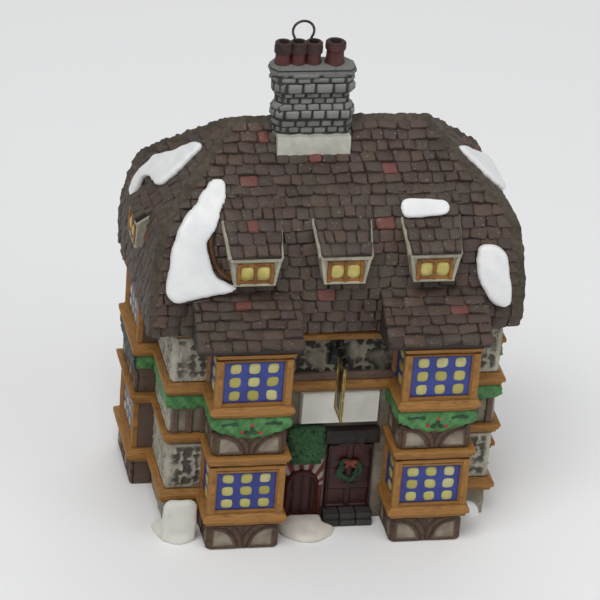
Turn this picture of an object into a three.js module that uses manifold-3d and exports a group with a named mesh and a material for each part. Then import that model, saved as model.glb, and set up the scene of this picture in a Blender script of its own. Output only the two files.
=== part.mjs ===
// A hanging ornament in cast ceramic: a timbered village house with bay windows,
// a steep slated roof with dormers, a brick chimney with pots, a wire hanging loop
// and a small metal sign that swings under an iron arm. Millimetres, +Z up,
// the front faces -Y, and the origin is the middle of the footprint on the ground.
import * as THREE from 'three';
import { mergeVertices } from 'three/addons/utils/BufferGeometryUtils.js';
import Module from 'manifold-3d';

const wasm = await Module();
wasm.setup();

// Clearances
const gap = 0.3; // beside a sloping, curved or turned neighbour
const past = 1; // how far a cutting solid runs past the face it cuts

// House body: outer size of the walls and the heights of what is stacked between the bands
const house = { width: 66, depth: 36.6, wall: 3 };
const storey = { plinth: 5.8, lowerWindow: 10.4, belly: 7.9, upperWindow: 9.1 };
const band = { lower: 2.9, middle: 2.6, upper: 3.6, eave: 2.4, proud: 1.6, eaveProud: 1.2 };
const frontBay = { spread: 0.5682, width: 13.6, depth: 9.6 }; // spread is a share of the half width
const sideBay = { y: 6.2, width: 16.7, depth: 3.8 };

// Windows: layers from the outside in, widths of posts, rails and glazing bars
const glazing = {
  proud: 0.9, frame: 0.8, sash: 0.6, panes: 0.5,
  post: 2.45, backPost: 1.2, rail: 0.6, bar: 0.8, sideMargin: 1.9,
  columns: 3, rows: 3, sideBayColumns: 4, sideBayPlate: 1.4,
};

// Main roof: overhang past the walls, steep lower slope that swells a little and leans in by an
// inset on each side, rounded knee, then the upper slope to the ridge
const roof = {
  shift: -1.4, sideOverhang: 4.1, frontOverhang: 2.5,
  lowerRise: 22.3, bulge: 0.6, sideInset: 1.3, frontInset: 3.1, backInset: 6.1,
  upperRise: 14.2, ridgeLength: 39.7, ridgeWidth: 1.8,
  kneeRound: 4, shell: 3.2, peakShell: 4.8, step: 0.45,
  lowerCourses: 7, kneeCourses: 3, upperCourses: 7,
};
const bayRoof = {
  width: 20.6, shift: -1.2, overhang: 2.4, soffit: 1.5, lip: 1, rise: 10.6, courses: 5, step: 0.5,
};

// Dormers: three on the front slope and one on the left end slope
const dormer = {
  pitch: 17.8, offset: -1.1, sideY: -2, sideProud: 1,
  sillRise: 12.2, faceHeight: 5.7, width: 9.2, proud: 2, run: 12, slope: 0.72,
  windowWidth: 7.2, windowHeight: 4.7, windowProud: 0.6, windowFrame: 0.7, mullion: 0.6,
  roofFront: 9.8, roofBack: 12.6, roofThickness: 1.3, eave: 0.9,
};

// Chimney in front of the ridge: plain stack, corbelled band, neck and cap, each given as it rises.
// It leans a little to the left for each millimetre that it rises.
const chimney = {
  x: -5.5, y: -2.4, width: 15.9, depth: 4.6, cornerX: 1.2, cornerY: 1.7, sunk: 9, lean: 0.055,
  foot: 2.5, band: 1.8, bandProud: 0.45, weathering: 0.9, neck: 2.5, neckInset: 0.3,
  course: 2.2, courseProud: 0.35, cap: 2.8, capProud: 0.55, capSlope: 0.9, capChamfer: 0.6,
};
const flashing = { width: 14.6, thickness: 1.4, height: 3.4, drop: 4.2 };
const pots = {
  y: -0.4, bed: 0.5, bedMargin: 0.2, height: 4.2, rim: 0.2, rimHeight: 1.3, wall: 0.5, flueDepth: 1.4,
  groupX: -3.8, groupRadius: 1.4, groupPitch: 3, groupCount: 3, singleX: 3.5, singleRadius: 1.75,
  sides: 18,
};
const loop = {
  x: -3.1, radius: 2.1, wire: 0.25, rise: 2.2, legSpread: 1.55, socketDepth: 2, clearance: 0.25,
  turns: 24, sides: 4, socketSides: 12,
};

// Front wall between the bays
const nameBoard = { x: 1.15, height: 6.8, thickness: 1, besideGarland: 1.1 };
const door = { x: 4.1, width: 9.6, height: 15.2, thickness: 1.2 };
const hood = { width: 11, height: 3.6, depth: 2.4 };
const doorstep = { width: 10.2, height: 3, depth: 3.5 };
const archPanel = { x: -5.4, width: 7.2, height: 10, sill: 2, thickness: 1 };
const greenery = { x: -5.2, width: 6.6, height: 7.4, depth: 3, below: 0.6 };

// Hanging sign: the arm stands out of the wall and the sign's two eyes ride on it
const arm = {
  x: -0.5, drop: 1.1, radius: 0.45, length: 9.9, knob: 0.75, sides: 12,
  plateWidth: 1.8, plate: 0.8, gusset: 4,
};
const sign = {
  width: 6, height: 12.2, thickness: 0.8, rim: 0.5, rimProud: 0.15,
  hang: 1.1, eyeWire: 0.25, eyeClearance: 0.3, eyeInset: 1.1, eyeSides: 8, eyeTurns: 24,
  fromWall: 6.2,
};

// Greenery under the upper band, snow on the roof and ground, and the board stuck in the snow
const garland = { height: 3.7, proud: 1.3, inside: 1.55, back: 3 };
const snow = {
  thickness: 1.2, mound: 2, moundX: -4.6, moundWidth: 13.2, moundReach: 9, sides: 24, rings: 12,
};
const signpost = {
  width: 6.8, height: 9, thickness: 1.5, fromWall: 6.4, round: 1.6, base: 2.2, besideBay: 0.05,
};

// Outlines of the snow patches on a slope, as [along the slope, height above the eave]
const snowOutlines = {
  snow_front_left: { slope: 'front', points: [
    [-26.8, 28.5], [-24.1, 28.9], [-23.8, 26.7], [-25.4, 24.7], [-26.2, 22.5], [-28.4, 19.5], [-27.5, 15.7],
    [-25.9, 12.3], [-22.2, 10.7], [-24.7, 9.9], [-30, 8.9], [-33.9, 8.1], [-35.7, 10.2], [-35.2, 14.3],
    [-34.4, 19.2], [-32.5, 23.5], [-29.8, 25.6],
  ] },
  snow_front_right: { slope: 'front', points: [
    [26.4, 17.2], [28.6, 17.6], [30.1, 17.1], [31.7, 15.7], [32.3, 11.8], [33, 8.4], [32.9, 5.7],
    [30, 6], [28, 8.6], [26.2, 12.5],
  ] },
  snow_left: { slope: 'left', points: [
    [-1.1, 31.2], [2.3, 31.8], [3.1, 29.8], [4.2, 27], [4, 24.8], [-1, 24.2], [-4.6, 22.6],
    [-4.9, 17.4], [-8.3, 17.6], [-7.4, 21.5], [-6.6, 24.2], [-6.9, 25.8], [-3.8, 28],
  ] },
  snow_right: { slope: 'right', points: [
    [-4.3, 31.9], [1.2, 28.4], [7.5, 23.3], [6, 21.5], [1.3, 22], [-7.5, 24], [-7.6, 27.3], [-6.4, 30],
  ] },
};
const dormerSnow = { width: 9.2, run: 2.6, fromBack: 4.4, shift: -1.4 };

// Heights worked out from the storeys and bands
const lowerBandZ = storey.plinth;
const lowerWindowZ = lowerBandZ + band.lower;
const middleBandZ = lowerWindowZ + storey.lowerWindow;
const bellyZ = middleBandZ + band.middle;
const upperBandZ = bellyZ + storey.belly;
const upperWindowZ = upperBandZ + band.upper;
const eaveBandZ = upperWindowZ + storey.upperWindow;
const eaveZ = eaveBandZ + band.eave;
const halfX = house.width / 2;
const halfY = house.depth / 2;
const eaveX = halfX + roof.sideOverhang;
const eaveY = halfY + roof.frontOverhang;
const kneeZ = eaveZ + roof.lowerRise;
const ridgeZ = kneeZ + roof.upperRise;
const bayX = halfX * frontBay.spread;
const bayRoofReach = frontBay.depth + bayRoof.overhang;
const garlandEnd = bayX - frontBay.width / 2 - garland.inside;
const curveSteps = 8; // straight pieces in a rounded outline

// Colours
function paint(color, roughness = 0.85, metalness = 0) {
  return new THREE.MeshStandardMaterial({ color, roughness, metalness });
}
const paints = {
  plaster: paint(0xb9b4a8),
  timber: paint(0xa06a35),
  darkTimber: paint(0x4b3c32),
  slate: paint(0x544844),
  sashBlue: paint(0x44509c),
  paneYellow: paint(0xc8be68, 0.5),
  brick: paint(0x7d807b),
  lead: paint(0xc6c6bc),
  pot: paint(0x6e2d28),
  iron: paint(0x1c1a19, 0.5, 0.6),
  brass: paint(0xa08c5a, 0.4, 0.8),
  door: paint(0x4a1c18),
  stone: paint(0x6f6d68),
  red: paint(0x6b2420),
  green: paint(0x4f8f57),
  snow: paint(0xececec, 0.7),
};

// Shapes
function rect(x0, x1, y0, y1) {
  return { x0, x1, y0, y1 };
}

function grow(area, by) {
  return rect(area.x0 - by, area.x1 + by, area.y0 - by, area.y1 + by);
}

// Closed body through rings of equal point count, each ring anticlockwise seen from the last one
function loft(rings) {
  const count = rings[0].length;
  const index = [];
  for (let k = 1; k < count - 1; k += 1) {
    index.push(0, k + 1, k);
  }
  for (let ring = 1; ring < rings.length; ring += 1) {
    for (let k = 0; k < count; k += 1) {
      const a = (ring - 1) * count + k;
      const b = (ring - 1) * count + ((k + 1) % count);
      index.push(a, b, b + count, a, b + count, a + count);
    }
  }
  const last = (rings.length - 1) * count;
  for (let k = 1; k < count - 1; k += 1) {
    index.push(last, last + k, last + k + 1);
  }
  const geometry = new THREE.BufferGeometry();
  geometry.setAttribute('position', new THREE.Float32BufferAttribute(rings.flat(2), 3));
  geometry.setIndex(index);
  return geometry;
}

function level(area, z) {
  return [[area.x0, area.y0, z], [area.x1, area.y0, z], [area.x1, area.y1, z], [area.x0, area.y1, z]];
}

function block(area, z0, z1) {
  return loft([level(area, z0), level(area, z1)]);
}

function outline(points) {
  return new THREE.Shape(points.map(([x, y]) => new THREE.Vector2(x, y)));
}

// Profile in (y, z), swept along X from x0 to x1
function sweepX(points, x0, x1) {
  const geometry = new THREE.ExtrudeGeometry(outline(points), { depth: x1 - x0, bevelEnabled: false });
  const turn = new THREE.Matrix4().makeBasis(
    new THREE.Vector3(0, 1, 0),
    new THREE.Vector3(0, 0, 1),
    new THREE.Vector3(1, 0, 0),
  );
  return geometry.applyMatrix4(turn).translate(x0, 0, 0);
}

// Profile in (x, z), swept along Y from y0 to y1
function sweepY(shape, y0, y1) {
  const options = { depth: y1 - y0, bevelEnabled: false, curveSegments: curveSteps };
  return new THREE.ExtrudeGeometry(shape, options).rotateX(Math.PI / 2).translate(0, y1, 0);
}

// Solids for joining and cutting
function solid(geometry) {
  const bare = geometry.clone();
  bare.deleteAttribute('normal');
  bare.deleteAttribute('uv');
  const merged = mergeVertices(bare, 1e-4);
  return new wasm.Manifold(new wasm.Mesh({
    numProp: 3,
    vertProperties: new Float32Array(merged.attributes.position.array),
    triVerts: new Uint32Array(merged.index.array),
  }));
}

function geometryOf(body) {
  const mesh = body.getMesh();
  const geometry = new THREE.BufferGeometry();
  geometry.setAttribute('position', new THREE.BufferAttribute(mesh.vertProperties, 3));
  geometry.setIndex(new THREE.BufferAttribute(mesh.triVerts, 1));
  return geometry;
}

function slab(area, z0, z1) {
  return solid(block(area, z0, z1));
}

function addPiece(parent, name, geometry, material) {
  geometry.computeVertexNormals();
  const mesh = new THREE.Mesh(geometry, material);
  mesh.name = name;
  parent.add(mesh);
  return mesh;
}

// Footprints
const wallArea = rect(-halfX, halfX, -halfY, halfY);
const wallInner = grow(wallArea, -house.wall);

function frontBayArea(side) {
  const x = side * bayX;
  return rect(x - frontBay.width / 2, x + frontBay.width / 2, -halfY - frontBay.depth, -halfY);
}

function sideBayArea(side) {
  const inner = side * halfX;
  const outer = side * (halfX + gap + sideBay.depth);
  const y = sideBay.y;
  return rect(Math.min(inner, outer), Math.max(inner, outer), y - sideBay.width / 2, y + sideBay.width / 2);
}

// A band or garland follows the walls and bays, from their faces out to proud
function followWalls(proud, z0, z1) {
  const sides = [-1, 1];
  const outer = [wallArea, ...sides.map(frontBayArea), ...sides.map(sideBayArea)]
    .map((area) => slab(grow(area, proud), z0, z1))
    .reduce((joined, body) => joined.add(body));
  const inner = [wallArea, ...sides.map(frontBayArea)]
    .map((area) => slab(area, z0 - past, z1 + past))
    .concat(sides.map((side) => slab(grow(sideBayArea(side), gap), z0 - past, z1 + past)));
  return inner.reduce((left, body) => left.subtract(body), outer);
}

function centreCut(z0, z1) {
  const reach = bayX - frontBay.width / 2;
  return slab(rect(-reach, reach, -halfY - frontBay.depth, -halfY + past), z0 - past, z1 + past);
}

function addWalls(parent) {
  const shell = slab(wallArea, 0, eaveZ).subtract(slab(wallInner, -past, eaveZ + past));
  addPiece(parent, 'wall_shell', geometryOf(shell), paints.plaster);
}

function addBands(parent) {
  const lower = followWalls(band.proud, lowerBandZ, lowerWindowZ)
    .subtract(centreCut(lowerBandZ, lowerWindowZ));
  const middle = followWalls(band.proud, middleBandZ, bellyZ)
    .subtract(centreCut(middleBandZ, bellyZ));
  const upper = followWalls(band.proud, upperBandZ, upperWindowZ);
  const eave = followWalls(band.eaveProud, eaveBandZ, eaveZ);
  addPiece(parent, 'lower_ledge', geometryOf(lower), paints.timber);
  addPiece(parent, 'middle_ledge', geometryOf(middle), paints.timber);
  addPiece(parent, 'upper_ledge', geometryOf(upper), paints.timber);
  addPiece(parent, 'eave_board', geometryOf(eave), paints.timber);
}

// Bays: a body that steps in at window height, so that the glazing wraps its core
function bayBody(width, depth, back, sideInset, frontInset) {
  const full = rect(-width / 2, width / 2, -depth, back);
  const core = rect(full.x0 + sideInset, full.x1 - sideInset, full.y0 + frontInset, back);
  return loft([
    level(full, 0), level(full, lowerWindowZ),
    level(core, lowerWindowZ), level(core, middleBandZ),
    level(full, middleBandZ), level(full, upperWindowZ),
    level(core, upperWindowZ), level(core, eaveBandZ),
    level(full, eaveBandZ), level(full, eaveZ),
  ]);
}

// One layer of glazing round the front and both sides of a bay
function wrap(outset, thickness, z0, z1) {
  const half = frontBay.width / 2 + outset;
  const front = -frontBay.depth - outset;
  const outer = slab(rect(-half, half, front, 0), z0, z1);
  const inner = rect(-half + thickness, half - thickness, front + thickness, past);
  return outer.subtract(slab(inner, z0 - past, z1 + past));
}

// Rows and columns of openings cut through a front face, between x0..x1 and z0..z1
function frontGrid(columns, rows, margin, x0, x1, y0, y1, z0, z1) {
  const width = (x1 - x0 - 2 * margin - (columns - 1) * glazing.bar) / columns;
  const height = (z1 - z0 - (rows + 1) * glazing.bar) / rows;
  const cuts = [];
  for (let row = 0; row < rows; row += 1) {
    const z = z0 + glazing.bar + row * (height + glazing.bar);
    for (let column = 0; column < columns; column += 1) {
      const x = x0 + margin + column * (width + glazing.bar);
      cuts.push(slab(rect(x, x + width, y0, y1), z, z + height));
    }
  }
  return cuts;
}

function addFrontWindow(parent, name, z0, z1) {
  const half = frontBay.width / 2 + glazing.proud;
  const front = -frontBay.depth - glazing.proud;
  const openX = half - glazing.post;
  const openY0 = front + glazing.post;
  const openY1 = -glazing.backPost;
  const openZ0 = z0 + glazing.rail;
  const openZ1 = z1 - glazing.rail;
  const middle = -frontBay.depth / 2;

  const frame = wrap(glazing.proud, glazing.frame, z0, z1)
    .subtract(slab(rect(-openX, openX, front - past, middle), openZ0, openZ1))
    .subtract(slab(rect(-half - past, half + past, openY0, openY1), openZ0, openZ1));

  const sashOutset = glazing.proud - glazing.frame;
  const frontCuts = frontGrid(
    glazing.columns, glazing.rows, glazing.bar, -openX, openX, front - past, middle, openZ0, openZ1,
  );
  const sideCuts = frontGrid(
    1, glazing.rows, glazing.sideMargin, openY0, openY1, -half - past, half + past, openZ0, openZ1,
  ).map((cut) => cut.rotate([0, 0, 90]).mirror([1, 0, 0]));
  const sash = [...frontCuts, ...sideCuts]
    .reduce((left, cut) => left.subtract(cut), wrap(sashOutset, glazing.sash, z0, z1));

  const panes = wrap(sashOutset - glazing.sash, glazing.panes, z0, z1);

  addPiece(parent, `${name}_window_frame`, geometryOf(frame), paints.timber);
  addPiece(parent, `${name}_sash`, geometryOf(sash), paints.sashBlue);
  addPiece(parent, `${name}_panes`, geometryOf(panes), paints.paneYellow);
}

function addFrontBay(parent, name, side) {
  const bay = new THREE.Group();
  bay.position.set(side * bayX, -halfY, 0);
  const inset = glazing.frame + glazing.sash + glazing.panes - glazing.proud;
  addPiece(bay, `${name}_bay`, bayBody(frontBay.width, frontBay.depth, 0, inset, inset), paints.plaster);
  addFrontWindow(bay, `${name}_lower`, lowerWindowZ, middleBandZ);
  addFrontWindow(bay, `${name}_upper`, upperWindowZ, eaveBandZ);
  addBayRoof(bay, `${name}_bay_roof`, side);
  parent.add(bay);
}

// Lean-to roof of a bay in stepped courses, in the bay's own frame and grown by a clearance
function leanTo(growth) {
  const top = eaveZ + bayRoof.rise;
  const frontTop = eaveZ + bayRoof.soffit + bayRoof.lip;
  const depthAt = (share) => -bayRoofReach * (1 - share);
  const heightAt = (share) => frontTop + (top - frontTop) * share + growth;
  const profile = [
    [0, eaveZ], [-bayRoofReach + bayRoof.soffit, eaveZ], [-bayRoofReach, eaveZ + bayRoof.soffit],
  ];
  for (let course = 0; course < bayRoof.courses; course += 1) {
    const start = course / bayRoof.courses;
    const end = (course + 1) / bayRoof.courses;
    profile.push([depthAt(start), heightAt(start)]);
    profile.push([depthAt(end), heightAt(end) - bayRoof.step]);
  }
  const half = bayRoof.width / 2 + growth;
  return solid(sweepX(profile.reverse(), bayRoof.shift - half, bayRoof.shift + half));
}

function addBayRoof(bay, name, side) {
  const mainRoof = roofEnvelope(gap).translate([-side * bayX, halfY, 0]);
  addPiece(bay, name, geometryOf(leanTo(0).subtract(mainRoof)), paints.slate);
}

// Side bay: narrow timber returns and a window plate on its outer face at both storeys
function addSideBay(parent, name, side) {
  const bay = new THREE.Group();
  bay.position.set(side * halfX, sideBay.y, 0);
  bay.rotation.z = side * Math.PI / 2;
  const inset = glazing.sideBayPlate - glazing.proud;
  const depth = gap + sideBay.depth;
  addPiece(bay, `${name}_side_bay`, bayBody(sideBay.width, depth, -gap, 0, inset), paints.darkTimber);
  addSideWindow(bay, `${name}_side_lower_window`, depth, lowerWindowZ, middleBandZ);
  addSideWindow(bay, `${name}_side_upper_window`, depth, upperWindowZ, eaveBandZ);
  parent.add(bay);
}

function addSideWindow(bay, name, depth, z0, z1) {
  const half = sideBay.width / 2;
  const front = -depth - glazing.proud;
  const plate = slab(rect(-half, half, front, front + glazing.sideBayPlate - gap), z0 + gap, z1 - gap);
  const cuts = frontGrid(
    glazing.sideBayColumns, glazing.rows, glazing.post / 2, -half + glazing.post / 2, half - glazing.post / 2,
    front - past, past, z0 + glazing.rail, z1 - glazing.rail,
  );
  const window = cuts.reduce((left, cut) => left.subtract(cut), plate);
  addPiece(bay, name, geometryOf(window), paints.sashBlue);
}

// Curve through number lists of equal length, drawn towards the middle one
function bend(from, towards, to, steps) {
  return Array.from({ length: steps + 1 }, (_, k) => {
    const t = k / steps;
    const curve = (value, axis) => (1 - t) ** 2 * value + 2 * t * (1 - t) * towards[axis] + t ** 2 * to[axis];
    return from.map(curve);
  });
}

function between(from, to, share) {
  return from.map((value, axis) => value + (to[axis] - value) * share);
}

// A point on the roof is [half width, reach to the front, reach to the back, height]
const kneePoint = [eaveX - roof.sideInset, eaveY - roof.frontInset, eaveY - roof.backInset, kneeZ];

function slopePoints() {
  const eave = [eaveX, eaveY, eaveY, eaveZ];
  const ridge = [roof.ridgeLength / 2, roof.ridgeWidth / 2, roof.ridgeWidth / 2, ridgeZ];
  const slopeLength = Math.hypot(kneePoint[1], roof.upperRise);
  const bendStart = between(kneePoint, eave, roof.kneeRound / roof.lowerRise);
  const bendEnd = between(kneePoint, ridge, roof.kneeRound / slopeLength);
  const swell = [eaveX + roof.bulge, eaveY + roof.bulge, eaveY + roof.bulge, (eaveZ + bendStart[3]) / 2];
  return [
    ...bend(eave, swell, bendStart, roof.lowerCourses),
    ...bend(bendStart, kneePoint, bendEnd, roof.kneeCourses).slice(1),
    ...bend(bendEnd, between(bendEnd, ridge, 0.5), ridge, roof.upperCourses).slice(1),
  ];
}

function roofLevel([x, front, back, z], growth) {
  return level(grow(rect(roof.shift - x, roof.shift + x, -front, back), growth), z);
}

// Smooth solid through the noses of the courses, grown outwards by a clearance
function roofEnvelope(growth) {
  const points = slopePoints();
  const [x, front, back] = points[points.length - 1];
  const foot = [...points[0].slice(0, 3), eaveZ - past];
  const peak = [x, front, back, ridgeZ + growth * roof.upperRise / kneePoint[1]];
  return solid(loft([foot, ...points, peak].map((point) => roofLevel(point, growth))));
}

function addMainRoof(parent) {
  const points = slopePoints();
  const innerX = roof.ridgeLength / 2 - roof.shell;
  const innerPeak = [innerX, roof.ridgeWidth / 4, roof.ridgeWidth / 4, ridgeZ - roof.peakShell];
  const innerKnee = [...kneePoint.slice(0, 3), kneeZ - roof.shell];
  const rings = [roofLevel(innerPeak, 0), roofLevel(innerKnee, -roof.shell), level(wallInner, eaveZ)];
  for (let course = 1; course < points.length; course += 1) {
    rings.push(roofLevel(points[course - 1], 0));
    rings.push(roofLevel(points[course], -roof.step));
  }
  addPiece(parent, 'main_roof', loft(rings), paints.slate);
}

// Dormers are drawn facing -Y, reach away from the middle of the house
function addDormer(parent, name, reach, mainRoof, joined) {
  const sill = eaveZ + dormer.sillRise;
  const face = sill + dormer.faceHeight;
  const front = -reach;
  const back = front + dormer.run;
  const rise = dormer.run * dormer.slope;
  const half = dormer.width / 2;
  const cheeks = solid(sweepX([[front, sill], [back, sill], [back, face + rise], [front, face]], -half, half))
    .subtract(mainRoof);

  const frontHalf = dormer.roofFront / 2;
  const backHalf = dormer.roofBack / 2;
  const edge = front - dormer.eave;
  const edgeZ = face - dormer.eave * dormer.slope;
  const lift = joined ? -gap : gap;
  const across = (x, y, z) => {
    const under = z + lift;
    const over = under + dormer.roofThickness;
    return [[x, y, under], [-x, y, under], [-x, y, over], [x, y, over]];
  };
  const cover = solid(loft([across(frontHalf, edge, edgeZ), across(backHalf, back, face + rise)]))
    .subtract(mainRoof);

  if (joined) {
    const window = dormerWindow(front, sill).add(cheeks).add(cover);
    addPiece(parent, name, geometryOf(window), paints.plaster);
    return;
  }
  addPiece(parent, `${name}_cheeks`, geometryOf(cheeks), paints.plaster);
  addPiece(parent, `${name}_window`, geometryOf(dormerWindow(front, sill)), paints.timber);
  addPiece(parent, `${name}_roof`, geometryOf(cover), paints.slate);
}

// Two lights side by side in a frame, with a thin sheet of panes at the back
function dormerWindow(front, sill) {
  const half = dormer.windowWidth / 2;
  const top = sill + dormer.windowHeight;
  const plate = slab(rect(-half, half, front - dormer.windowProud, front), sill, top);
  const inner = half - dormer.windowFrame;
  const cut = (x0, x1) => slab(
    rect(x0, x1, front - dormer.windowProud - past, front - dormer.windowProud / 2),
    sill + dormer.windowFrame, top - dormer.windowFrame,
  );
  return plate
    .subtract(cut(-inner, -dormer.mullion / 2))
    .subtract(cut(dormer.mullion / 2, inner));
}

const frontDormers = ['left', 'middle', 'right'].map((name, place) => ({
  name: `${name}_dormer`, x: dormer.offset + (place - 1) * dormer.pitch,
}));

// The whole space of a dormer as one block, grown by a clearance
function dormerBlock(reach, growth) {
  const sill = eaveZ + dormer.sillRise - growth;
  const across = (half, y, top) => [[half, y, sill], [-half, y, sill], [-half, y, top], [half, y, top]];
  const frontTop = eaveZ + dormer.sillRise + dormer.faceHeight + gap + dormer.roofThickness + growth;
  const backTop = frontTop + dormer.run * dormer.slope;
  const y = -reach - dormer.eave - growth;
  return solid(loft([
    across(dormer.roofFront / 2 + growth, y, frontTop),
    across(dormer.roofBack / 2 + growth, -reach + dormer.run, backTop),
  ]));
}

function addDormers(parent) {
  for (const { name, x } of frontDormers) {
    const group = new THREE.Group();
    group.position.x = x;
    addDormer(group, name, eaveY + dormer.proud, roofEnvelope(gap).translate([-x, 0, 0]), false);
    parent.add(group);
  }
  const group = new THREE.Group();
  group.position.set(roof.shift, dormer.sideY, 0);
  group.rotation.z = -Math.PI / 2;
  const mainRoof = roofEnvelope(gap).translate([-roof.shift, -dormer.sideY, 0]).rotate([0, 0, 90]);
  addDormer(group, 'left_side_dormer', eaveX + dormer.sideProud, mainRoof, true);
  parent.add(group);
}

// Chimney
const capTop = ridgeZ + chimney.foot + chimney.band + chimney.weathering + chimney.neck
  + chimney.course + chimney.cap + chimney.capSlope;

function chimneyRing(proud, z) {
  const x = chimney.width / 2 + proud;
  const y = chimney.depth / 2 + proud;
  const flatX = x - chimney.cornerX;
  const flatY = y - chimney.cornerY;
  const corners = [
    [-flatX, -y], [flatX, -y], [x, -flatY], [x, flatY],
    [flatX, y], [-flatX, y], [-x, flatY], [-x, -flatY],
  ];
  return corners.map(([cornerX, cornerY]) => [cornerX - chimney.lean * (z - ridgeZ), cornerY, z]);
}

function addChimney(parent) {
  const group = new THREE.Group();
  group.position.set(chimney.x, chimney.y, 0);
  const steps = [
    [chimney.foot, 0], [0, chimney.bandProud], [chimney.band, chimney.bandProud],
    [chimney.weathering, -chimney.neckInset], [chimney.neck, -chimney.neckInset],
    [0, chimney.courseProud], [chimney.course, chimney.courseProud],
    [0, chimney.capProud], [chimney.cap, chimney.capProud],
    [chimney.capSlope, chimney.capProud - chimney.capChamfer],
  ];
  let z = ridgeZ;
  const rings = [chimneyRing(0, ridgeZ - chimney.sunk)];
  for (const [rise, proud] of steps) {
    z += rise;
    rings.push(chimneyRing(proud, z));
  }
  const mainRoof = roofEnvelope(gap).translate([-chimney.x, -chimney.y, 0]);
  addPiece(group, 'chimney_stack', geometryOf(solid(loft(rings)).subtract(mainRoof)), paints.brick);

  const face = -chimney.depth / 2;
  const half = flashing.width / 2;
  const foot = ridgeZ - flashing.drop;
  const apron = slab(rect(-half, half, face - flashing.thickness, face), foot, foot + flashing.height);
  addPiece(group, 'chimney_flashing', geometryOf(apron.subtract(mainRoof)), paints.lead);
  addPots(group);
  addLoop(group);
  parent.add(group);
}

function potGeometry(x, radius) {
  const { rim, rimHeight, height, wall, flueDepth } = pots;
  const flue = radius - wall;
  const profile = [
    [0, 0], [radius + rim / 2, 0], [radius, height - rimHeight], [radius + rim, height - rimHeight],
    [radius + rim, height], [flue, height], [flue, height - flueDepth], [0, height - flueDepth],
  ].map(([r, z]) => new THREE.Vector2(r, z));
  const pot = new THREE.LatheGeometry(profile, pots.sides);
  return pot.rotateX(Math.PI / 2).translate(x, pots.y, capTop + pots.bed / 2);
}

const potTop = capTop + pots.bed / 2 + pots.height;

function addPots(group) {
  let body = solid(loft([
    chimneyRing(-pots.bedMargin, capTop), chimneyRing(-pots.bedMargin, capTop + pots.bed),
  ]));
  for (let place = 0; place < pots.groupCount; place += 1) {
    const x = pots.groupX + (place - (pots.groupCount - 1) / 2) * pots.groupPitch;
    body = body.add(solid(potGeometry(x, pots.groupRadius)));
  }
  body = body.add(solid(potGeometry(pots.singleX, pots.singleRadius)));
  const socketRadius = loop.wire + loop.clearance;
  for (const side of [-1, 1]) {
    const depth = loop.socketDepth + past;
    const socket = new THREE.CylinderGeometry(socketRadius, socketRadius, depth, loop.socketSides)
      .rotateX(Math.PI / 2)
      .translate(loop.x + side * loop.legSpread, pots.y, potTop + (past - loop.socketDepth) / 2);
    body = body.subtract(solid(socket));
  }
  addPiece(group, 'chimney_pots', geometryOf(body), paints.pot);
}

// Wire loop: two straight legs in sockets, and an open circle above them
function addLoop(group) {
  const centre = potTop + loop.rise;
  const start = Math.asin(loop.legSpread / loop.radius);
  const legFoot = (side) => new THREE.Vector3(
    loop.x + side * loop.legSpread, pots.y, potTop - loop.socketDepth + gap,
  );
  const onCircle = (angle) => new THREE.Vector3(
    loop.x - loop.radius * Math.sin(angle), pots.y, centre - loop.radius * Math.cos(angle),
  );
  const ring = Array.from({ length: loop.turns + 1 }, (_, k) => (
    onCircle(start + (2 * Math.PI - 2 * start) * k / loop.turns)
  ));
  const wire = new THREE.CatmullRomCurve3([legFoot(-1), ...ring, legFoot(1)]);
  const section = new THREE.Shape().absarc(0, 0, loop.wire, 0, 2 * Math.PI);
  const options = { steps: 2 * loop.turns, extrudePath: wire, curveSegments: loop.sides };
  addPiece(group, 'hanging_loop', new THREE.ExtrudeGeometry(section, options), paints.iron);
}

// Front wall between the bays. Y is measured out from the wall's face.
function panel(x, width, depth, z0, z1) {
  return block(rect(x - width / 2, x + width / 2, -halfY - depth, -halfY), z0, z1);
}

function addEntrance(parent) {
  const boardTop = upperBandZ;
  const boardFoot = boardTop - nameBoard.height;
  const doorTop = doorstep.height + door.height;
  const boardWidth = 2 * (garlandEnd - nameBoard.besideGarland - nameBoard.x);
  const board = panel(nameBoard.x, boardWidth, nameBoard.thickness, boardFoot, boardTop);
  const leaf = panel(door.x, door.width, door.thickness, doorstep.height, doorTop);
  const lintel = panel(door.x, hood.width, hood.depth, doorTop, doorTop + hood.height);
  const step = panel(door.x, doorstep.width, doorstep.depth, 0, doorstep.height);
  addPiece(parent, 'name_board', board, paints.snow);
  addPiece(parent, 'door', leaf, paints.door);
  addPiece(parent, 'door_hood', lintel, paints.darkTimber);
  addPiece(parent, 'doorstep', step, paints.stone);

  const arch = new THREE.Shape();
  const half = archPanel.width / 2;
  const spring = archPanel.sill + archPanel.height - half;
  arch.moveTo(archPanel.x - half, archPanel.sill);
  arch.lineTo(archPanel.x + half, archPanel.sill);
  arch.lineTo(archPanel.x + half, spring);
  arch.absarc(archPanel.x, spring, half, 0, Math.PI);
  addPiece(parent, 'arched_panel', sweepY(arch, -halfY - archPanel.thickness, -halfY), paints.red);

  const greenTop = boardFoot - greenery.below;
  const leaves = panel(greenery.x, greenery.width, greenery.depth, greenTop - greenery.height, greenTop);
  addPiece(parent, 'hanging_greenery', leaves, paints.green);
}

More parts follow.
